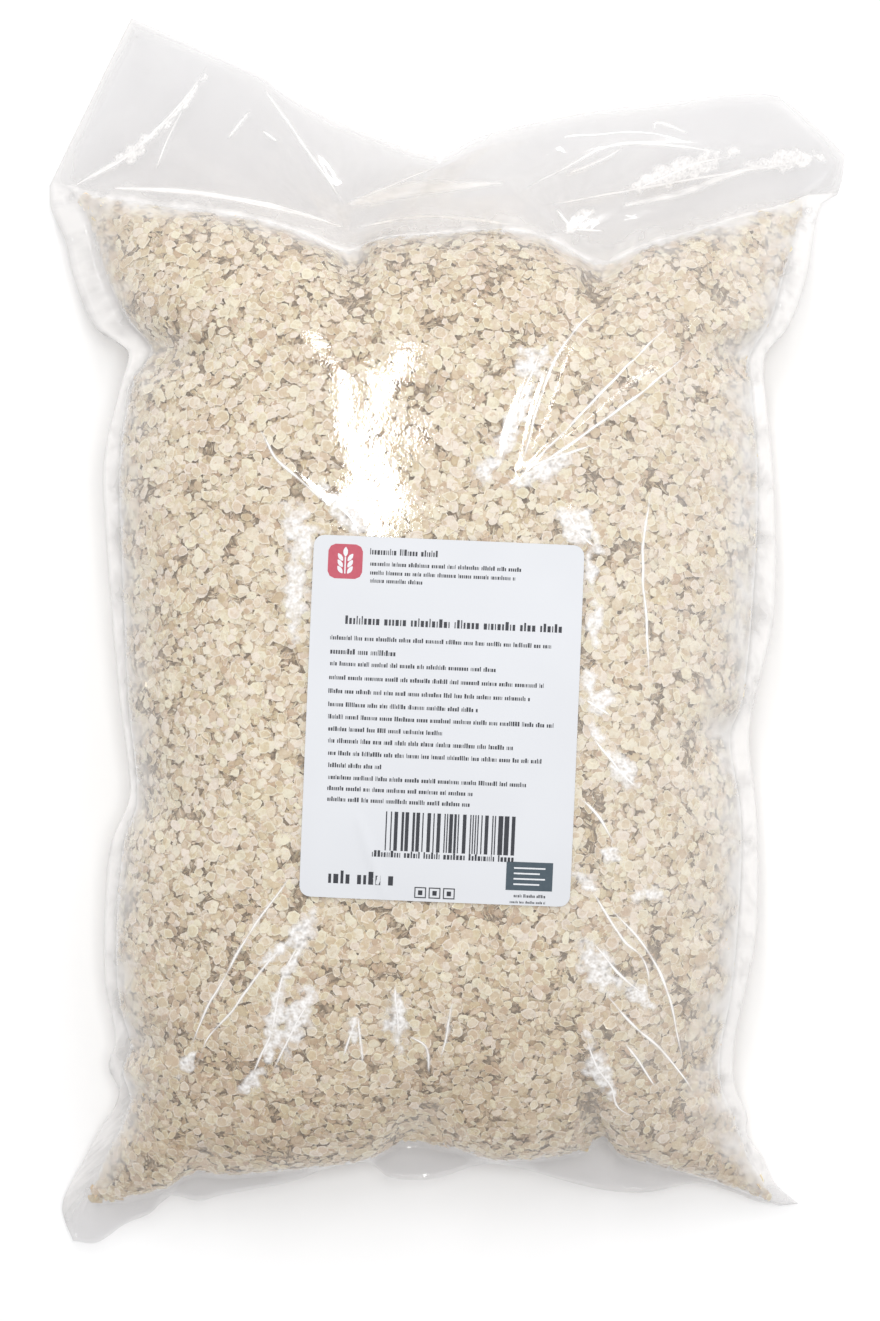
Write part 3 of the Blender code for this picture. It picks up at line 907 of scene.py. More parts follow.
def painted_highlights(flat):
    """Painted highlights: 1 on the crest of each crease and along each gleam, where the film's
    reflections are painted white.
    """
    white = np.zeros(len(flat))
    for creases, reach in CREASE_SETS:
        moved = strayed(flat, reach)
        for points, *_ in creases:
            near = near_line(moved, points, 5)
            white[near] = np.maximum(white[near], crest_highlight_line(moved[near], points))
    for points, half_width in PAINTED_GLEAMS:
        near = near_line(flat, points, LINE_ROOM)
        off, share = line_distance(flat[near], smooth_line(points))
        width = half_width * (0.15 + np.sin(np.pi * share**0.7))
        uneven = 0.75 + 0.5 * noise_at(flat[near], (9.0, 3.0), 97.0)
        white[near] = np.maximum(white[near], uneven * np.exp(-((off / width) ** 4)))
    return np.clip(white, 0, 1)


def add_values(mesh, name, values):
    """Gives every vertex of a mesh a number for its material to read."""
    layer = mesh.attributes.new(name, "FLOAT", "POINT")
    layer.data.foreach_set("value", values.astype(np.float32))


def merge_meshes(first, second):
    """Adds a second bmesh to the first."""
    spare = bpy.data.meshes.new("spare")
    second.to_mesh(spare)
    second.free()
    first.from_mesh(spare)
    bpy.data.meshes.remove(spare)


def build_film_mesh():
    """The film as one closed skin, fine on the shown side and finest along its creases."""
    film = film_wall(1.0)
    merge_meshes(film, film_wall(-1.0))
    rim = [edge for edge in film.edges if edge.is_boundary]
    bmesh.ops.bridge_loops(film, edges=rim)
    shape_film(film)
    side = read_layers(film)[3]
    refine(film, side > 0)
    for radius in FINER_WITHIN:
        shape_film(film)
        flat = np.array([vertex.co for vertex in film.verts]) / MM
        side = read_layers(film)[3]
        refine(film, (side > 0) & (needed_detail(flat) < radius))
    shape_film(film)
    bmesh.ops.triangulate(film, faces=film.faces[:])
    bmesh.ops.recalc_face_normals(film, faces=film.faces[:])
    return film


def add_piece(name, mesh, material):
    """Puts a mesh into the scene as a smooth piece that rides on the part's one body."""
    mesh.name = name
    mesh.materials.append(material)
    thing = bpy.data.objects.new(name, mesh)
    bpy.context.scene.collection.objects.link(thing)
    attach(thing, "root")
    return thing


def mesh_from(built, name, sharp=None):
    """A mesh from a bmesh, which it frees, smooth up to a sharp angle in degrees."""
    mesh = bpy.data.meshes.new(name)
    built.to_mesh(mesh)
    built.free()
    mesh.shade_smooth()
    if sharp is not None:
        mesh.set_sharp_from_angle(angle=math.radians(sharp))
    return mesh


def thicken(sheet, height):
    """Makes a closed sheet from a flat one, with its upper face this much higher."""
    lifted = bmesh.ops.extrude_face_region(sheet, geom=sheet.faces[:])["geom"]
    top = [item for item in lifted if isinstance(item, bmesh.types.BMVert)]
    bmesh.ops.translate(sheet, verts=top, vec=(0, 0, height))
    bmesh.ops.recalc_face_normals(sheet, faces=sheet.faces[:])


def build_film():
    """The clear film with the values that its material reads."""
    built = build_film_mesh()
    across, up, band, side = read_layers(built)
    mesh = mesh_from(built, "film")
    places = np.zeros(len(mesh.vertices) * 3)
    mesh.vertices.foreach_get("co", places)
    flat = places.reshape(-1, 3) / MM
    edge = np.minimum(np.minimum(across, 1 - across) / 0.05, np.minimum(up, 1 - up) / 0.04)
    free = smooth_step((crease_distance(flat) - 2.0) / 4.0)
    touching = smooth_step(edge) * (side > 0) * off_label(flat) * free
    add_values(mesh, "contact", touching)
    add_values(mesh, "dust", np.where(side > 0, dust_cover(flat, across, up, band), 0))
    # Painted highlights along creases and gleams, which the material shows as white haze
    add_values(mesh, "painted_highlights", np.where(side > 0, painted_highlights(flat), 0) * off_label(flat))
    # Painted glints in patches, which the material shows as speckled white haze
    add_values(mesh, "painted_glints", np.where(side > 0, painted_glints(flat), 0) * off_label(flat))
    thing = add_piece("film", mesh, film_material())
    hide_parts("oats_bag")


# Contents

CORE_COLUMNS = 90
CORE_ROWS = 140
CORE_INSET = (0.968, 0.978)


def build_core():
    """The unseen mass of oats, a lumpy pillow a few millimetres inside the film, dark with
    painted shade.
    """
    core = bmesh.new()
    for side in (1.0, -1.0):
        wall = bmesh.new()
        bmesh.ops.create_grid(wall, x_segments=CORE_COLUMNS, y_segments=CORE_ROWS, size=1.0)
        flat = np.array([vertex.co for vertex in wall.verts])
        u = 0.5 + crowd((flat[:, 0] + 1) / 2) * CORE_INSET[0] - CORE_INSET[0] / 2
        v = 0.5 + crowd((flat[:, 1] + 1) / 2) * CORE_INSET[1] - CORE_INSET[1] / 2
        top = filled_surface(u, v, np.ones(len(u)))
        bottom = filled_surface(u, v, -np.ones(len(u)))
        depth = sizes().core_depth / MM
        lump = 0.7 * noise_at(top, 4.5, 51.0 + side)
        high = top[:, 2] - depth + lump
        low = bottom[:, 2] + depth + lump
        middle = (top[:, 2] + bottom[:, 2]) / 2
        place = top
        high, low = np.maximum(high, middle + 0.3), np.minimum(low, middle - 0.3)
        place[:, 2] = np.where(side > 0, high, low)
        for vertex, point in zip(wall.verts, place * MM):
            vertex.co = point
        if side < 0:
            bmesh.ops.reverse_faces(wall, faces=wall.faces[:])
        merge_meshes(core, wall)
    rim = [edge for edge in core.edges if edge.is_boundary]
    bmesh.ops.bridge_loops(core, edges=rim)
    bmesh.ops.recalc_face_normals(core, faces=core.faces[:])
    thing = add_piece("oats_core", mesh_from(core, "oats_core"), core_material())


class FlakeKind(NamedTuple):
    """What sets one kind of flake apart."""

    name: str
    count: int
    size: tuple               # least and most, as shares of the middle size
    slender: tuple            # width over length
    ragged: float             # unevenness of the rim
    tone: tuple               # 0 floury to 1 toasted
    tilt: float               # most lean against the film, in degrees
    extra: tuple              # least and most extra depth under the film, in mm
    side: int                 # 1 for the shown side of the bag, -1 for its back
    rim: int                  # points round the rim
    cut_edge: bool            # a flake with a blunt edge, or a thin lens


FLAKE_KINDS = [
    FlakeKind(
        "round_flakes", 4900, (0.80, 1.35), (0.74, 1.0), 0.12, (0.04, 0.46),
        12, (0.0, 1.5), 1, 8, True,
    ),
    FlakeKind(
        "oval_flakes", 4300, (0.90, 1.45), (0.52, 0.76), 0.13, (0.08, 0.52),
        14, (0.0, 1.6), 1, 8, True,
    ),
    FlakeKind(
        "ragged_flakes", 9200, (0.62, 1.15), (0.45, 0.92), 0.20, (0.0, 0.55),
        18, (0.0, 1.7), 1, 8, False,
    ),
    FlakeKind(
        "floury_flakes", 3200, (0.75, 1.25), (0.60, 0.98), 0.14, (0.0, 0.06),
        14, (0.0, 1.2), 1, 8, False,
    ),
    FlakeKind(
        "toasted_flakes", 1200, (0.75, 1.15), (0.55, 0.95), 0.12, (0.58, 0.88),
        15, (0.0, 1.4), 1, 8, False,
    ),
    FlakeKind(
        "broken_flakes", 12500, (0.32, 0.72), (0.40, 1.0), 0.22, (0.0, 0.60),
        34, (0.1, 1.8), 1, 5, False,
    ),
    FlakeKind(
        "under_flakes", 15000, (0.90, 1.3), (0.60, 1.0), 0.11, (0.36, 0.78),
        22, (1.1, 2.8), 1, 6, False,
    ),
    FlakeKind(
        "oat_crumbs", 5000, (0.18, 0.34), (0.45, 1.0), 0.20, (0.0, 0.35),
        40, (0.1, 1.6), 1, 5, False,
    ),
    FlakeKind(
        "back_flakes", 8000, (0.95, 1.3), (0.66, 1.0), 0.12, (0.10, 0.60),
        20, (0.0, 1.6), -1, 6, False,
    ),
]
UNDERCUT = 0.93               # size of a flake's lower rim against its upper one
FLAKE_SHARP = 32              # angle in degrees from which an edge stays sharp
ON_EDGE_TILT = (44, 78)       # lean in degrees of the flakes that stand on edge in patches
LEAST_ROOM = 3.2              # thickness of the bag that a flake needs
SAMPLE_COLUMNS = 160
SAMPLE_ROWS = 220


def spread(count, draw):
    """Evenly spread pairs of shares with some unevenness, so that nothing crowds or gapes."""
    plastic = 1.32471795724474602596
    step = np.arange(count)
    start = draw.random(2)
    pairs = np.stack([start[0] + step / plastic, start[1] + step / plastic**2], 1)
    pairs += draw.normal(0, 0.3 / math.sqrt(count), pairs.shape)
    return pairs % 1


def place_evenly(count, side, draw):
    """Shares u and v of points spread evenly over the real area of one side of the bag."""
    lines_u = np.linspace(0, 1, SAMPLE_COLUMNS + 1)
    lines_v = np.linspace(0, 1, SAMPLE_ROWS + 1)
    grid_u, grid_v = np.meshgrid(lines_u, lines_v)
    flat = filled_surface(grid_u.ravel(), grid_v.ravel(), np.full(grid_u.size, float(side)))
    grid = flat.reshape(SAMPLE_ROWS + 1, SAMPLE_COLUMNS + 1, 3)
    first = grid[1:, 1:] - grid[:-1, :-1]
    second = grid[1:, :-1] - grid[:-1, 1:]
    area = np.linalg.norm(np.cross(first, second), axis=2) / 2
    pairs = spread(count, draw)
    rows = np.cumsum(area.sum(1))
    wanted = pairs[:, 1] * rows[-1]
    row = np.clip(np.searchsorted(rows, wanted), 0, SAMPLE_ROWS - 1)
    before = np.where(row > 0, rows[row - 1], 0)
    v = (row + (wanted - before) / (rows[row] - before)) / SAMPLE_ROWS
    across = np.cumsum(area, 1)
    across /= across[:, -1:]
    stacked = (across + np.arange(SAMPLE_ROWS)[:, None]).ravel()
    at = np.searchsorted(stacked, row + pairs[:, 0])
    column = np.clip(at - row * SAMPLE_COLUMNS, 0, SAMPLE_COLUMNS - 1)
    left = np.where(column > 0, across[row, column - 1], 0)
    inside = (pairs[:, 0] - left) / np.maximum(across[row, column] - left, 1e-9)
    return (column + np.clip(inside, 0, 1)) / SAMPLE_COLUMNS, v


def surface_normals(u, v, side):
    """Outward directions of the oats' surface."""
    step = 0.004
    sides = np.full(len(u), float(side))
    low_u, high_u = np.clip(u - step, 0, 1), np.clip(u + step, 0, 1)
    low_v, high_v = np.clip(v - step, 0, 1), np.clip(v + step, 0, 1)
    across = filled_surface(high_u, v, sides) - filled_surface(low_u, v, sides)
    up = filled_surface(u, high_v, sides) - filled_surface(u, low_v, sides)
    normal = np.cross(across, up) * side
    return normal / np.linalg.norm(normal, axis=1)[:, None]


def turned(vectors, axes, angles):
    """Vectors turned about unit axes."""
    cos, sin = np.cos(angles)[:, None], np.sin(angles)[:, None]
    along = np.sum(vectors * axes, axis=1)[:, None]
    return vectors * cos + np.cross(axes, vectors) * sin + axes * along * (1 - cos)


def flake_frames(u, v, kind, radius, draw):
    """Middles and three axes of flakes that lie under the film, and which of them fit."""
    ones = np.ones(len(u))
    front, back = filled_surface(u, v, ones), filled_surface(u, v, -ones)
    surface = front if kind.side > 0 else back
    normal = surface_normals(u, v, kind.side)
    room = front[:, 2] - back[:, 2]
    tilt = np.radians(kind.tilt) * np.sqrt(draw.random(len(u)))
    patch_share = 0.08 + 0.66 * smooth_step((noise_at(surface, 15.0, 61.0) - 0.12) / 0.22)
    on_edge = draw.random(len(u)) < patch_share
    tilt += on_edge * np.radians(draw.uniform(*ON_EDGE_TILT, len(u)))
    half_room = np.maximum(room / 2 - 0.4, 0)
    tilt = np.minimum(tilt, np.arcsin(np.clip(half_room / radius, 0.02, 1)))
    reach = radius * np.sin(tilt) + sizes().flake_thickness / MM / 2 + 0.15
    least, most = kind.extra
    depth = reach + least + (most - least) * draw.random(len(u)) ** 1.4
    depth = np.minimum(depth, np.maximum(room / 2 - 0.1, 0.3))
    heading = draw.uniform(0, 2 * np.pi, len(u))
    stacked = 9 * noise_at(surface, 24.0, 67.0) + draw.normal(0, 0.25, len(u))
    heading = np.where(on_edge, stacked, heading)
    aim = np.stack([np.cos(heading), np.sin(heading), 0.3 * np.sin(3 * heading)], 1)
    flat = np.cross(normal, aim)
    flat /= np.linalg.norm(flat, axis=1)[:, None]
    up = turned(normal, flat, tilt)
    long_axis = turned(np.cross(up, flat), up, draw.uniform(0, 2 * np.pi, len(u)))
    middle = surface - normal * depth[:, None]
    fits = (room > LEAST_ROOM) & (middle[:, 2] > 0.4)
    return middle, (long_axis, np.cross(up, long_axis), up), fits


def joined_mesh(name, points, faces):
    """One mesh from arrays of points and of triangles."""
    mesh = bpy.data.meshes.new(name)
    mesh.vertices.add(len(points))
    mesh.vertices.foreach_set("co", points.astype(np.float32).ravel())
    mesh.loops.add(faces.size)
    mesh.loops.foreach_set("vertex_index", faces.astype(np.int32).ravel())
    mesh.polygons.add(len(faces))
    mesh.polygons.foreach_set("loop_start", np.arange(0, faces.size, 3, dtype=np.int32))
    mesh.update(calc_edges=True)
    mesh.shade_smooth()
    mesh.set_sharp_from_angle(angle=math.radians(FLAKE_SHARP))
    return mesh


def flake_faces(kind):
    """Triangles of one flake: its two faces, and its cut edge unless it is a thin lens."""
    ring = np.arange(kind.rim)
    following = (ring + 1) % kind.rim
    if not kind.cut_edge:
        top, bottom = kind.rim, kind.rim + 1
        upper = np.stack([ring, following, np.full_like(ring, top)], 1)
        lower = np.stack([following, ring, np.full_like(ring, bottom)], 1)
        return np.concatenate([upper, lower])
    top, bottom = 2 * kind.rim, 2 * kind.rim + 1
    upper = np.stack([ring, following, np.full_like(ring, top)], 1)
    lower = np.stack([kind.rim + following, kind.rim + ring, np.full_like(ring, bottom)], 1)
    wall_a = np.stack([kind.rim + ring, kind.rim + following, following], 1)
    wall_b = np.stack([kind.rim + ring, following, ring], 1)
    return np.concatenate([upper, lower, wall_a, wall_b])


def flake_shapes(kind, radius, draw):
    """Points of flakes in their own axes, as an array (flake, point, axis), in mm."""
    count = kind.count
    grid = (count, kind.rim)
    slender = draw.uniform(*kind.slender, (count, 1))
    angle = np.linspace(0, 2 * np.pi, kind.rim, endpoint=False)
    angle = angle + draw.normal(0, 0.12, grid)
    reach = 1 + draw.normal(0, kind.ragged, grid).clip(-0.38, 0.3)
    x = radius[:, None] * reach * np.cos(angle)
    y = radius[:, None] * reach * np.sin(angle) * slender
    half = sizes().flake_thickness / MM / 2 * draw.uniform(0.75, 1.25, (count, 1))
    half *= np.minimum(1, radius[:, None] / 1.6)
    cup = draw.normal(0, 0.10, (count, 1))
    twist = draw.normal(0, 0.13, (count, 1))
    share_x, share_y = x / radius[:, None], y / radius[:, None]
    bend = radius[:, None] * (cup * share_x**2 + twist * share_x * share_y)
    bend += draw.normal(0, 0.04, grid) * radius[:, None]
    middle_lift = draw.uniform(-0.12, 0.22, (count, 1))
    centre = np.zeros((count, 1))
    if kind.cut_edge:
        rows_x = [x, x * UNDERCUT, centre, centre]
        rows_y = [y, y * UNDERCUT, centre, centre]
        rows_z = [bend + half * 0.6, bend - half * 0.6, half + middle_lift, -half]
    else:
        rows_x = [x, centre, centre]
        rows_y = [y, centre, centre]
        rows_z = [bend, half + middle_lift * 0.5, -half]
    parts = [np.concatenate(rows, 1) for rows in (rows_x, rows_y, rows_z)]
    return np.stack(parts, 2)


def build_flakes(kind, salt):
    """All flakes of one kind, joined into one piece."""
    draw = np.random.default_rng(sizes().seed * 100 + salt)
    u, v = place_evenly(kind.count, kind.side, draw)
    radius = sizes().flake_across / MM / 2 * draw.uniform(*kind.size, kind.count)
    middle, axes, fits = flake_frames(u, v, kind, radius, draw)
    shapes = flake_shapes(kind, radius, draw)
    points = middle[:, None, :] + sum(
        shapes[:, :, k, None] * axes[k][:, None, :] for k in range(3)
    )
    marks = np.zeros(shapes.shape)
    # Painted shade: flakes toned darker towards the bag's bottom and, less, towards its top
    painted_shade = 0.10 * smooth_step((v - 0.78) / 0.2) + 0.24 * smooth_step((0.34 - v) / 0.3)
    marks[:, :, 0] = (draw.uniform(*kind.tone, kind.count) + painted_shade)[:, None]
    # Darker rims, part bran and part painted shade under and between the flakes: a cut-edge
    # flake's lower rim or a lens's whole rim; many upper rims are then made pale
    marks[:, (kind.rim if kind.cut_edge else 0):-2, 1] = 1
    pale_rim = draw.random((kind.count, 1)) < (0.85 if kind.cut_edge else 0.55)
    marks[:, :kind.rim, 1] = np.where(pale_rim, -1, marks[:, :kind.rim, 1])
    marks[:, :, 2] = draw.random(kind.count)[:, None]
    points, marks = points[fits], marks[fits]
    template = flake_faces(kind)
    offsets = np.arange(len(points)) * shapes.shape[1]
    faces = (template[None] + offsets[:, None, None]).reshape(-1, 3)
    flat = points.reshape(-1, 3)
    flat[:, 2] = np.maximum(flat[:, 2], 0.2)
    mesh = joined_mesh(kind.name, flat * MM, faces)
    layer = mesh.attributes.new("flake", "FLOAT_VECTOR", "POINT")
    layer.data.foreach_set("vector", marks.astype(np.float32).ravel())
    thing = add_piece(kind.name, mesh, flake_material())


# Label and its print

PAPER_LIFT = 0.35             # from the film to the underside of the paper
INK_THICKNESS = 0.03
INK_LIFT = 0.03               # from the paper to the underside of the ink
OVERPRINT_LIFT = 0.08
SHEET_SHARP = 50
SHEET_GRID = (72, 96)
SLATE = (32.5, 54.0, -76.6, -63.4)
TILE_X, TILE_Y, TILE_HALF, TILE_CORNER = -47.6, 71.6, 8.0, 3.6
BARS = (-23.9, 36.0, -60.6, -42.6)
LABEL_CREASE = ([(-37.2, -44.1), (-31.0, -62.0), (-22.7, -82.5)], 0.7, 1.8)

# Lines of greeked type: left end, right end, height above the label's middle, size of a mark
TYPE_LINES = [
    (-36.3, -5.0, 76.3, 2.9),
    (-36.0, 34.2, 70.8, 2.0),
    (-35.9, 31.7, 66.7, 2.0),
    (-35.7, -10.9, 63.0, 2.0),
    (-46.4, 53.7, 44.2, 3.9),
    (-53.0, 49.5, 36.1, 2.1),
    (-52.7, -21.9, 29.7, 2.5),
    (-52.5, 25.6, 24.2, 2.1),
    (-52.7, 46.6, 17.8, 2.1),
    (-52.8, 40.4, 11.5, 2.1),
    (-52.6, 16.8, 5.4, 2.1),
    (-52.4, 51.9, -0.3, 2.1),
    (-52.1, 0.7, -5.9, 2.1),
    (-51.9, 33.1, -11.3, 2.2),
    (-51.7, 48.5, -17.0, 2.1),
    (-51.4, -26.2, -22.6, 2.1),
    (-51.2, 41.6, -28.1, 2.1),
    (-51.4, 16.1, -33.2, 2.1),
    (-51.2, 14.9, -38.2, 2.1),
    (-29.6, 35.6, -62.6, 3.0),
    (-49.3, -18.0, -74.6, 6.0),
    (36.4, 51.1, -79.3, 1.5),
    (34.7, 51.2, -82.2, 1.2),
]


def label_point(x, y, tree, lift):
    """A point above the film at a place given in the label's own millimetres."""
    turn = math.radians(LABEL_TURN)
    across = (LABEL_CENTRE[0] + x * math.cos(turn) - y * math.sin(turn)) * MM
    up = (LABEL_CENTRE[1] + x * math.sin(turn) + y * math.cos(turn)) * MM
    hit = tree.ray_cast(Vector((across, up, 1.0)), Vector((0, 0, -1)))[0]
    if hit is None:
        raise RuntimeError("the label lies off the film")
    return hit + Vector((0, 0, lift * MM))


def label_relief(x, y):
    """Height of the crease in the paper."""
    points, high, half_width = LABEL_CREASE
    off, share = line_distance(np.array([[x, y]]), smooth_line(points))
    fade = np.sqrt(np.sin(np.pi * share[0]).clip(0, 1))
    return float(high * fade * np.exp(-(off[0] / half_width) ** 2))


def round_corner(x, y, half, corner):
    """Moves a point of a rectangle onto the same one with round corners."""
    core_x, core_y = half[0] - corner, half[1] - corner
    over_x, over_y = abs(x) - core_x, abs(y) - core_y
    if over_x > 0 and over_y > 0:
        reach = max(over_x, over_y) / math.hypot(over_x, over_y)
        x = math.copysign(core_x + over_x * reach, x)
        y = math.copysign(core_y + over_y * reach, y)
    return x, y


def film_tree():
    """A tree to drop points onto the film with."""
    film = bpy.data.objects.get("film")
    if film is None:
        raise RuntimeError("the film has to be built before the label")
    built = bmesh.new()
    built.from_mesh(film.data)
    tree = BVHTree.FromBMesh(built)
    built.free()
    return tree


def build_label():
    """The paper label, pressed onto the film."""
    tree = film_tree()
    wide, long = sizes().label_width / MM, sizes().label_length / MM
    sheet = bmesh.new()
    columns, rows = SHEET_GRID
    bmesh.ops.create_grid(sheet, x_segments=columns, y_segments=rows, size=0.5)
    half, corner = (wide / 2, long / 2), sizes().label_corner / MM
    for vertex in sheet.verts:
        x, y = round_corner(vertex.co.x * wide, vertex.co.y * long, half, corner)
        vertex.co = label_point(x, y, tree, PAPER_LIFT + label_relief(x, y))
    thicken(sheet, sizes().paper_thickness)
    mesh = mesh_from(sheet, "paper_label", SHEET_SHARP)
    thing = add_piece("paper_label", mesh, paper_material())
    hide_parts("label")


class Print:
    """Flat shapes in the label's own millimetres, gathered and then laid on the paper."""

    def __init__(self):
        self.mesh = bmesh.new()

    def bar(self, left, right, low, high):
        """A plain block of ink, split so that it can follow the paper."""
        wide, tall = right - left, high - low
        made = bmesh.ops.create_grid(
            self.mesh,
            x_segments=max(1, round(wide / 3)),
            y_segments=max(1, round(tall / 3)),
            size=0.5,
        )["verts"]
        for vertex in made:
            vertex.co.x = (left + right) / 2 + vertex.co.x * wide
            vertex.co.y = (low + high) / 2 + vertex.co.y * tall
        return made

    def oval(self, x, y, wide, tall, turn=0.0):
        """A pointed oval, as a grain is drawn."""
        circle = {"cap_ends": True, "segments": 10, "radius": 0.5}
        made = bmesh.ops.create_circle(self.mesh, **circle)["verts"]
        cos, sin = math.cos(turn), math.sin(turn)
        for vertex in made:
            a, b = vertex.co.x * wide, vertex.co.y * tall
            a *= 1 - abs(vertex.co.y)
            vertex.co.x = x + a * cos - b * sin
            vertex.co.y = y + a * sin + b * cos

    def frame(self, left, right, low, high, line):
        """The outline of a rectangle."""
        self.bar(left, right, low, low + line)
        self.bar(left, right, high - line, high)
        self.bar(left, left + line, low + line, high - line)
        self.bar(right - line, right, low + line, high - line)

    def lay(self, name, material, lift):
        """Puts all the shapes onto the paper as one piece of thin ink."""
        tree = film_tree()
        above = PAPER_LIFT + sizes().paper_thickness / MM + lift
        for vertex in self.mesh.verts:
            x, y = vertex.co.x, vertex.co.y
            vertex.co = label_point(x, y, tree, above + label_relief(x, y))
        bmesh.ops.recalc_face_normals(self.mesh, faces=self.mesh.faces[:])
        for face in self.mesh.faces:
            if face.normal.z < 0:
                face.normal_flip()
        thicken(self.mesh, INK_THICKNESS * MM)
        thing = add_piece(name, mesh_from(self.mesh, name, SHEET_SHARP), material)


def greek_line(sheet, left, right, base, size, draw):
    """A line of small plain marks in word-like groups, which says nothing."""
    x = left
    while x < right - size * 0.4:
        word_end = min(right, x + size * draw.uniform(1.6, 5.0))
        while x < word_end - size * 0.25:
            wide = size * draw.choice((0.13, 0.22, 0.30, 0.38))
            tall = size * draw.choice((0.72, 0.72, 0.72, 1.0))
            sheet.bar(x, min(x + wide, right), base - size * 0.36, base - size * 0.36 + tall)
            x += wide + size * 0.17
        x += size * 0.42


def build_dark_print():
    """Lines of plain marks, plain bars and small frames."""
    draw = np.random.default_rng(sizes().seed)
    sheet = Print()
    for left, right, base, size in TYPE_LINES:
        greek_line(sheet, left, right, base, size, draw)
    x, right, low, high = BARS
    while x < right:
        wide = draw.choice((0.55, 0.55, 1.1, 1.65, 2.2))
        sheet.bar(x, min(x + wide, right + 0.2), low, high)
        x += wide + draw.choice((0.6, 0.6, 1.15, 1.7))
    for step in range(3):
        left = -9.4 + 6.6 * step
        sheet.frame(left, left + 5.4, -82.0, -76.9, 0.5)
        sheet.bar(left + 1.7, left + 3.7, -80.6, -78.4)
    sheet.lay("dark_print", ink_material("dark_ink", "ink"), INK_LIFT)


def build_slate():
    """The small slate rectangle."""
    sheet = Print()
    sheet.bar(*SLATE)
    sheet.lay("slate_print", ink_material("slate_print", "slate_ink"), INK_LIFT)


def build_slate_lines():
    """Paler plain lines on the slate rectangle and the ear of grain on the red tile."""
    sheet = Print()
    for step in range(4):
        sheet.bar(36.0, 50.5 - 2.5 * (step % 2), -66.6 - 2.5 * step, -65.9 - 2.5 * step)
    sheet.bar(TILE_X - 0.3, TILE_X + 0.3, TILE_Y - 5.6, TILE_Y + 2.0)
    sheet.oval(TILE_X, TILE_Y + 4.4, 2.6, 4.6)
    for step in range(3):
        for hand in (-1, 1):
            sheet.oval(TILE_X + hand * 2.3, TILE_Y + 1.9 - 2.9 * step, 2.3, 4.2, -hand * 0.6)
    sheet.lay("pale_print", ink_material("pale_ink", "paper"), OVERPRINT_LIFT)


def build_tile():
    """The red-pink tile at the label's upper left."""
    sheet = Print()
    half = (TILE_HALF, TILE_HALF)
    square = (TILE_X - TILE_HALF, TILE_X + TILE_HALF, TILE_Y - TILE_HALF, TILE_Y + TILE_HALF)
    for vertex in sheet.bar(*square):
        x, y = round_corner(vertex.co.x - TILE_X, vertex.co.y - TILE_Y, half, TILE_CORNER)
        vertex.co.x, vertex.co.y = TILE_X + x, TILE_Y + y
    sheet.lay("red_tile", ink_material("red_print", "red_ink"), INK_LIFT)


# Materials

FILM_ROUGHNESS = 0.075
FLOUR_DULLS = 0.26            # roughness that flour adds
FACE_GLOSS = 0.075            # mirrored share seen square on
EDGE_GLOSS = 0.75             # mirrored share added at a grazing angle
FILM_HAZE = 0.06              # share of white haze in clean film
FLOUR_HAZE = 0.46
# Shares of white haze that paint highlights on creases and gleams
CREST_HIGHLIGHT_HAZE = 0.9
GLINT_PATCH_SPECKLE = (1.4, 0.04)    # share of the painted glints taken from the grain's noise, and share without it


def new_material(name):
    """A material with empty nodes and links, or with None for both if it was made before."""
    material = bpy.data.materials.get(name)
    if material is not None:
        return material, None, None
    material = bpy.data.materials.new(name)
    material.use_nodes = True
    nodes = material.node_tree.nodes
    nodes.clear()
    return material, nodes, material.node_tree.links


def add_node(nodes, kind, **values):
    """A node with its properties, and its sockets by name with spaces as underscores."""
    node = nodes.new(kind)
    for name, value in values.items():
        if hasattr(node, name):
            setattr(node, name, value)
        else:
            node.inputs[name.replace("_", " ")].default_value = value
    return node


def wire(links, first, output, second, socket):
    """A link from an output of one node to a socket of another, each by name or number."""
    links.new(first.outputs[output], second.inputs[socket])


def math_node(nodes, operation, *values, **options):
    """A Math node with fixed values in its sockets, where None leaves one free for a link."""
    node = add_node(nodes, "ShaderNodeMath", operation=operation, **options)
    for socket, value in zip(node.inputs, values):
        if value is not None:
            socket.default_value = value
    return node


def range_node(nodes, start, end, most):
    """A Map Range node from 0 at the start to the most at the end."""
    node = nodes.new("ShaderNodeMapRange")
    node.inputs["From Min"].default_value = start
    node.inputs["From Max"].default_value = end
    node.inputs["To Max"].default_value = most
    return node


def ramp_node(nodes, *stops):
    """A Color Ramp node from its stops: place and colour of each."""
    node = nodes.new("ShaderNodeValToRGB")
    ramp = node.color_ramp
    for number, (place, colour) in enumerate((stops[0], stops[-1])):
        ramp.elements[number].position = place
        ramp.elements[number].color = (*colour, 1)
    for place, colour in stops[1:-1]:
        ramp.elements.new(place).color = (*colour, 1)
    return node


def times(colour, share):
    """A colour made darker or lighter."""
    return tuple(channel * share for channel in colour)


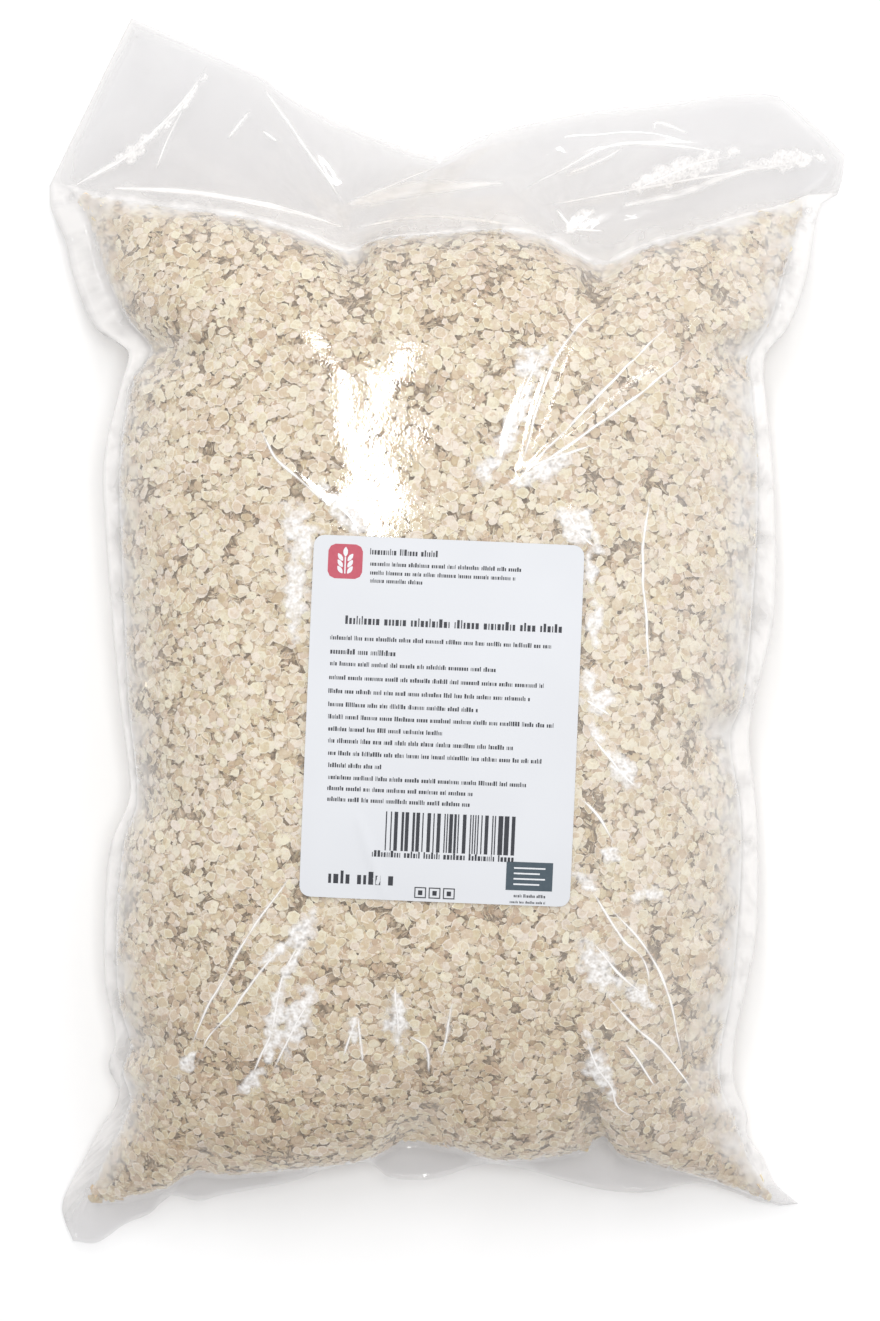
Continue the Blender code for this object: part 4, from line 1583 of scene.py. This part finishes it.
def film_material():
    """Clear glossy film: haze where it is floury, painted highlights of white haze on creases,
    gleams and glint patches, uneven over the flakes.
    """
    material, nodes, links = new_material("clear_film")
    if nodes is None:
        return material
    output = nodes.new("ShaderNodeOutputMaterial")
    place = nodes.new("ShaderNodeTexCoord")
    contact = add_node(nodes, "ShaderNodeAttribute", attribute_name="contact")
    run = add_node(nodes, "ShaderNodeMapping")
    run.inputs["Rotation"].default_value = (0, 0, math.radians(-17))
    run.inputs["Scale"].default_value = (24, 300, 60)
    streaks = add_node(nodes, "ShaderNodeTexNoise", Scale=1.0, Detail=1.0)
    weave = math_node(nodes, "MULTIPLY_ADD")
    bump = add_node(nodes, "ShaderNodeBump", Strength=1.0, Distance=0.00008)
    clear = add_node(nodes, "ShaderNodeBsdfTransparent", Color=(*colours().film, 1))
    gloss = add_node(nodes, "ShaderNodeBsdfGlossy", Color=(1, 1, 1, 1))
    haze = add_node(nodes, "ShaderNodeBsdfDiffuse", Color=(0.985, 0.965, 0.945, 1))
    dull = math_node(nodes, "MULTIPLY_ADD", None, FLOUR_DULLS, FILM_ROUGHNESS)
    edge = add_node(nodes, "ShaderNodeLayerWeight", Blend=0.5)
    rise = math_node(nodes, "POWER", None, 4.0)
    reflect = math_node(nodes, "MULTIPLY_ADD", None, EDGE_GLOSS, FACE_GLOSS)
    shine = nodes.new("ShaderNodeMixShader")
    veil = nodes.new("ShaderNodeMixShader")
    dust = add_node(nodes, "ShaderNodeAttribute", attribute_name="dust")
    cloudy = math_node(nodes, "MULTIPLY_ADD", None, FLOUR_HAZE, FILM_HAZE)
    # Painted highlights: white haze along creases and gleams and in the glint patches
    crest = add_node(nodes, "ShaderNodeAttribute", attribute_name="painted_highlights")
    haze_and_crest_highlight = math_node(nodes, "MULTIPLY_ADD", None, CREST_HIGHLIGHT_HAZE, use_clamp=True)
    glint_patch = add_node(nodes, "ShaderNodeAttribute", attribute_name="painted_glints")
    grain = add_node(nodes, "ShaderNodeTexNoise", Scale=430.0, Detail=1.0, Roughness=0.7)
    speckle = math_node(nodes, "MULTIPLY_ADD", None, *GLINT_PATCH_SPECKLE)
    ragged = math_node(nodes, "MULTIPLY", use_clamp=True)
    whiter = math_node(nodes, "MAXIMUM")
    wire(links, place, "Object", grain, "Vector")
    wire(links, grain, "Fac", speckle, 0)
    wire(links, glint_patch, "Fac", ragged, 0)
    wire(links, speckle, 0, ragged, 1)
    wire(links, ragged, 0, whiter, 0)
    wire(links, haze_and_crest_highlight, 0, whiter, 1)
    wire(links, dust, "Fac", dull, 0)
    wire(links, dull, 0, gloss, "Roughness")
    wire(links, dust, "Fac", cloudy, 0)
    wire(links, crest, "Fac", haze_and_crest_highlight, 0)
    wire(links, cloudy, 0, haze_and_crest_highlight, 2)
    wire(links, whiter, 0, veil, 0)
    wire(links, grain, "Fac", weave, 0)
    wire(links, contact, "Fac", weave, 1)
    wire(links, place, "Object", run, "Vector")
    wire(links, run, 0, streaks, "Vector")
    wire(links, streaks, "Fac", weave, 2)
    wire(links, weave, 0, bump, "Height")
    wire(links, bump, "Normal", gloss, "Normal")
    wire(links, edge, "Facing", rise, 0)
    wire(links, rise, 0, reflect, 0)
    wire(links, clear, 0, veil, 1)
    wire(links, haze, 0, veil, 2)
    wire(links, reflect, 0, shine, 0)
    wire(links, veil, 0, shine, 1)
    wire(links, gloss, 0, shine, 2)
    wire(links, shine, 0, output, "Surface")
    return material


def flake_material():
    """Dry flakes: a tone for each, flour in patches, and a pale rim or a darker rim that is part
    bran and part painted shade between the flakes.
    """
    material, nodes, links = new_material("oat_flake")
    if nodes is None:
        return material
    output = nodes.new("ShaderNodeOutputMaterial")
    shader = add_node(nodes, "ShaderNodeBsdfPrincipled", Roughness=0.8, Specular_IOR_Level=0.0)
    mark = add_node(nodes, "ShaderNodeAttribute", attribute_name="flake")
    split = nodes.new("ShaderNodeSeparateXYZ")
    place = nodes.new("ShaderNodeTexCoord")
    mottle = add_node(nodes, "ShaderNodeTexNoise", Scale=520.0, Detail=2.0, Roughness=0.62)
    drift = add_node(nodes, "ShaderNodeTexNoise", Scale=28.0, Detail=2.0)
    tones = colours()
    ramp = ramp_node(
        nodes, (0, tones.flake_pale), (0.45, tones.flake_middle), (1, tones.flake_toasted)
    )
    uneven = math_node(nodes, "MULTIPLY_ADD", None, 0.80)
    patchy = math_node(nodes, "MULTIPLY_ADD", None, 0.30)
    # The darker rim, part bran and part painted shade between the flakes
    shaded_rim = range_node(nodes, 0.86, 1.0, 0.75)
    pale_line = range_node(nodes, -0.70, -1.0, -0.60)
    rims = math_node(nodes, "ADD")
    rim = math_node(nodes, "ADD")
    shift = math_node(nodes, "SUBTRACT", None, 0.55)
    bump = add_node(nodes, "ShaderNodeBump", Strength=0.5, Distance=0.0002)
    hues = ramp_node(nodes, (0, (1.0, 0.955, 0.95)), (1, (1.0, 1.0, 0.88)))
    hue = add_node(nodes, "ShaderNodeMix", data_type="RGBA", blend_type="MULTIPLY")
    hue.inputs[0].default_value = 1.0
    wire(links, split, 2, hues, 0)
    wire(links, ramp, 0, hue, 6)
    wire(links, hues, 0, hue, 7)
    wire(links, mark, "Vector", split, 0)
    wire(links, place, "Object", mottle, "Vector")
    wire(links, place, "Object", drift, "Vector")
    wire(links, mottle, "Fac", uneven, 0)
    wire(links, split, 0, uneven, 2)
    wire(links, drift, "Fac", patchy, 0)
    wire(links, uneven, 0, patchy, 2)
    wire(links, split, 1, shaded_rim, "Value")
    wire(links, split, 1, pale_line, "Value")
    wire(links, shaded_rim, 0, rims, 0)
    wire(links, pale_line, 0, rims, 1)
    wire(links, rims, 0, rim, 0)
    wire(links, patchy, 0, rim, 1)
    wire(links, rim, 0, shift, 0)
    wire(links, shift, 0, ramp, 0)
    wire(links, hue, 2, shader, "Base Color")
    wire(links, mottle, "Fac", bump, "Height")
    wire(links, bump, "Normal", shader, "Normal")
    wire(links, shader, 0, output, "Surface")
    return material


def core_material():
    """Oats deep in the bag, darkened with painted shade: cells of flake size with darker painted
    shade in their gaps.
    """
    material, nodes, links = new_material("oats_core")
    if nodes is None:
        return material
    output = nodes.new("ShaderNodeOutputMaterial")
    shader = add_node(nodes, "ShaderNodeBsdfPrincipled", Roughness=0.9, Specular_IOR_Level=0.0)
    place = nodes.new("ShaderNodeTexCoord")
    cells = add_node(nodes, "ShaderNodeTexVoronoi", Scale=230.0)
    gaps = add_node(nodes, "ShaderNodeTexVoronoi", feature="DISTANCE_TO_EDGE", Scale=230.0)
    core = colours().core
    # Painted shade in the gaps between the cells
    shade = (core[0] * 0.5, core[1] * 0.48, core[2] * 0.45)
    ramp = ramp_node(nodes, (0, shade), (0.35, times(core, 1.3)))
    bump = add_node(nodes, "ShaderNodeBump", Strength=0.8, Distance=0.001)
    wire(links, place, "Object", cells, "Vector")
    wire(links, place, "Object", gaps, "Vector")
    wire(links, gaps, "Distance", ramp, 0)
    wire(links, ramp, 0, shader, "Base Color")
    wire(links, cells, "Distance", bump, "Height")
    wire(links, bump, "Normal", shader, "Normal")
    wire(links, shader, 0, output, "Surface")
    return material


def paper_material():
    """Smooth coated paper with faint fibre and a soft sheen."""
    material, nodes, links = new_material("coated_paper")
    if nodes is None:
        return material
    output = nodes.new("ShaderNodeOutputMaterial")
    shader = add_node(nodes, "ShaderNodeBsdfPrincipled", Roughness=0.72, Specular_IOR_Level=0.2)
    place = nodes.new("ShaderNodeTexCoord")
    fibre = add_node(nodes, "ShaderNodeTexNoise", Scale=900.0, Detail=4.0)
    cloud = add_node(nodes, "ShaderNodeTexNoise", Scale=24.0, Detail=2.0)
    paper = colours().paper
    ramp = ramp_node(nodes, (0.3, times(paper, 0.97)), (0.7, paper))
    bump = add_node(nodes, "ShaderNodeBump", Strength=0.25, Distance=0.00006)
    wire(links, place, "Object", fibre, "Vector")
    wire(links, place, "Object", cloud, "Vector")
    wire(links, cloud, "Fac", ramp, 0)
    wire(links, ramp, 0, shader, "Base Color")
    wire(links, fibre, "Fac", bump, "Height")
    wire(links, bump, "Normal", shader, "Normal")
    wire(links, shader, 0, output, "Surface")
    return material


def ink_material(name, colour):
    """Printed ink with slightly uneven cover."""
    material, nodes, links = new_material(name)
    if nodes is None:
        return material
    output = nodes.new("ShaderNodeOutputMaterial")
    shader = add_node(nodes, "ShaderNodeBsdfPrincipled", Roughness=0.5)
    place = nodes.new("ShaderNodeTexCoord")
    cover = add_node(nodes, "ShaderNodeTexNoise", Scale=600.0, Detail=2.0)
    ink = getattr(colours(), colour)
    thin = tuple(min(1, channel * 1.15 + 0.02) for channel in ink)
    ramp = ramp_node(nodes, (0, ink), (1, thin))
    wire(links, place, "Object", cover, "Vector")
    wire(links, cover, "Fac", ramp, 0)
    wire(links, ramp, 0, shader, "Base Color")
    wire(links, shader, 0, output, "Surface")
    return material


# Stage

# Softboxes: name, place, turn about Z in degrees, width and length, brightness of the face.
# The first one is a soft fill that the film doesn't mirror; the others shine on its creases.
SOFTBOXES = [
    ("overhead", (0.06, 0.03, 2.0), 0, (0.54, 0.62), 17.6),
    ("left_strip", (-0.21, 1.12, 2.0), 0, (0.19, 1.40), 14.0),
    ("right_bar", (1.02, 1.38, 2.0), -45, (0.07, 1.30), 13.0),
]

HORIZON = (0.82, 0.82, 0.82)
ZENITH = (0.34, 0.34, 0.35)
SKY_LEAN = (0.20, 0.38, 0)    # how much brighter the sky is towards each axis


def build_floor():
    """A plain pale floor under the bag."""
    built = bmesh.new()
    bmesh.ops.create_grid(built, x_segments=1, y_segments=1, size=8.0)
    bmesh.ops.translate(built, verts=built.verts[:], vec=(0, 0, -0.0004))
    mesh = mesh_from(built, "floor")
    material, nodes, links = new_material("floor")
    output = nodes.new("ShaderNodeOutputMaterial")
    shader = add_node(nodes, "ShaderNodeBsdfPrincipled", Roughness=0.95)
    shader.inputs["Base Color"].default_value = (*colours().floor, 1)
    wire(links, shader, 0, output, "Surface")
    mesh.materials.append(material)
    thing = bpy.data.objects.new("floor", mesh)
    bpy.context.scene.collection.objects.link(thing)


def add_softbox(name, place, turn, size, brightness):
    """A rectangular light that looks straight down and whose face has a given brightness."""
    light = bpy.data.lights.new(name, "AREA")
    light.shape = "RECTANGLE"
    light.size, light.size_y = size
    light.energy = brightness * math.pi * size[0] * size[1]
    thing = bpy.data.objects.new(name, light)
    thing.location = place
    thing.rotation_euler = (0, 0, math.radians(turn))
    thing.visible_camera = False
    thing.visible_glossy = name != "overhead"
    bpy.context.scene.collection.objects.link(thing)


def build_world():
    """Soft light from all round, dimmer overhead, and brightest past the mouth and the right."""
    world = bpy.data.worlds.new("studio")
    world.use_nodes = True
    nodes, links = world.node_tree.nodes, world.node_tree.links
    nodes.clear()
    output = nodes.new("ShaderNodeOutputWorld")
    background = nodes.new("ShaderNodeBackground")
    place = nodes.new("ShaderNodeTexCoord")
    split = nodes.new("ShaderNodeSeparateXYZ")
    ramp = ramp_node(nodes, (0, HORIZON), (1, ZENITH))
    lean = add_node(nodes, "ShaderNodeVectorMath", operation="DOT_PRODUCT")
    lean.inputs[1].default_value = SKY_LEAN
    strength = math_node(nodes, "ADD", None, 1.0)
    wire(links, place, "Generated", split, 0)
    wire(links, split, "Z", ramp, 0)
    wire(links, place, "Generated", lean, 0)
    wire(links, lean, "Value", strength, 0)
    wire(links, ramp, 0, background, "Color")
    wire(links, strength, 0, background, "Strength")
    wire(links, background, 0, output, "Surface")
    bpy.context.scene.world = world


def build_camera():
    """The camera above the bag, looking straight down with the mouth up in the picture."""
    lens = bpy.data.cameras.new("camera")
    lens.lens = CAMERA_LENS
    lens.sensor_width = SENSOR
    lens.sensor_fit = "AUTO"
    lens.clip_end = 50.0
    thing = bpy.data.objects.new("camera", lens)
    thing.location = CAMERA_PLACE
    bpy.context.scene.collection.objects.link(thing)
    bpy.context.scene.camera = thing


class OATBAG_OT_film(Operator):
    """Wraps the oats in clear film"""

    bl_idname = "oatbag.film"
    bl_label = "Film"

    def execute(self, context):
        build_film()
        return {"FINISHED"}


class OATBAG_OT_core(Operator):
    """Fills the bag's inside with a mass of oats, dark with painted shade"""

    bl_idname = "oatbag.core"
    bl_label = "Core"

    def execute(self, context):
        build_core()
        return {"FINISHED"}


class OATBAG_OT_flakes(Operator):
    """Scatters every kind of flake under the film"""

    bl_idname = "oatbag.flakes"
    bl_label = "Flakes"

    def execute(self, context):
        for salt, kind in enumerate(FLAKE_KINDS):
            build_flakes(kind, salt)
        return {"FINISHED"}


class OATBAG_OT_label(Operator):
    """Sticks the paper label on the film"""

    bl_idname = "oatbag.label"
    bl_label = "Label"

    def execute(self, context):
        build_label()
        return {"FINISHED"}


class OATBAG_OT_print(Operator):
    """Prints plain marks and fields of colour on the label"""

    bl_idname = "oatbag.print"
    bl_label = "Print"

    def execute(self, context):
        build_dark_print()
        build_tile()
        build_slate()
        build_slate_lines()
        return {"FINISHED"}


class OATBAG_OT_stage(Operator):
    """Adds the floor, the lights and the camera"""

    bl_idname = "oatbag.stage"
    bl_label = "Stage"

    def execute(self, context):
        build_floor()
        build_world()
        for softbox in SOFTBOXES:
            add_softbox(*softbox)
        build_camera()
        context.scene.view_settings.view_transform = "Standard"
        return {"FINISHED"}


class OATBAG_PT_panel(Panel):
    """Lists the steps, sizes and colours of the bag of oats"""

    bl_idname = "OATBAG_PT_panel"
    bl_label = "Bag of rolled oats"
    bl_space_type = "VIEW_3D"
    bl_region_type = "UI"
    bl_category = "Oats"

    def draw(self, context):
        for step in STEPS:
            self.layout.operator(step.bl_idname)
        for group in (context.scene.oat_bag_sizes, context.scene.oat_bag_colours):
            column = self.layout.column()
            for name in group.__annotations__:
                column.prop(group, name)


STEPS = (
    OATBAG_OT_film,
    OATBAG_OT_core,
    OATBAG_OT_flakes,
    OATBAG_OT_label,
    OATBAG_OT_print,
    OATBAG_OT_stage,
)
CLASSES = (OatBagSizes, OatBagColours, *STEPS, OATBAG_PT_panel)


def register():
    for each in CLASSES:
        bpy.utils.register_class(each)
    bpy.types.Scene.oat_bag_sizes = PointerProperty(type=OatBagSizes)
    bpy.types.Scene.oat_bag_colours = PointerProperty(type=OatBagColours)


def unregister():
    del bpy.types.Scene.oat_bag_colours
    del bpy.types.Scene.oat_bag_sizes
    for each in reversed(CLASSES):
        bpy.utils.unregister_class(each)


def main():
    register()
    bpy.ops.oatbag.film()
    bpy.ops.oatbag.core()
    bpy.ops.oatbag.flakes()
    bpy.ops.oatbag.label()
    bpy.ops.oatbag.print()
    bpy.ops.oatbag.stage()


if __name__ == "__main__":
    main()
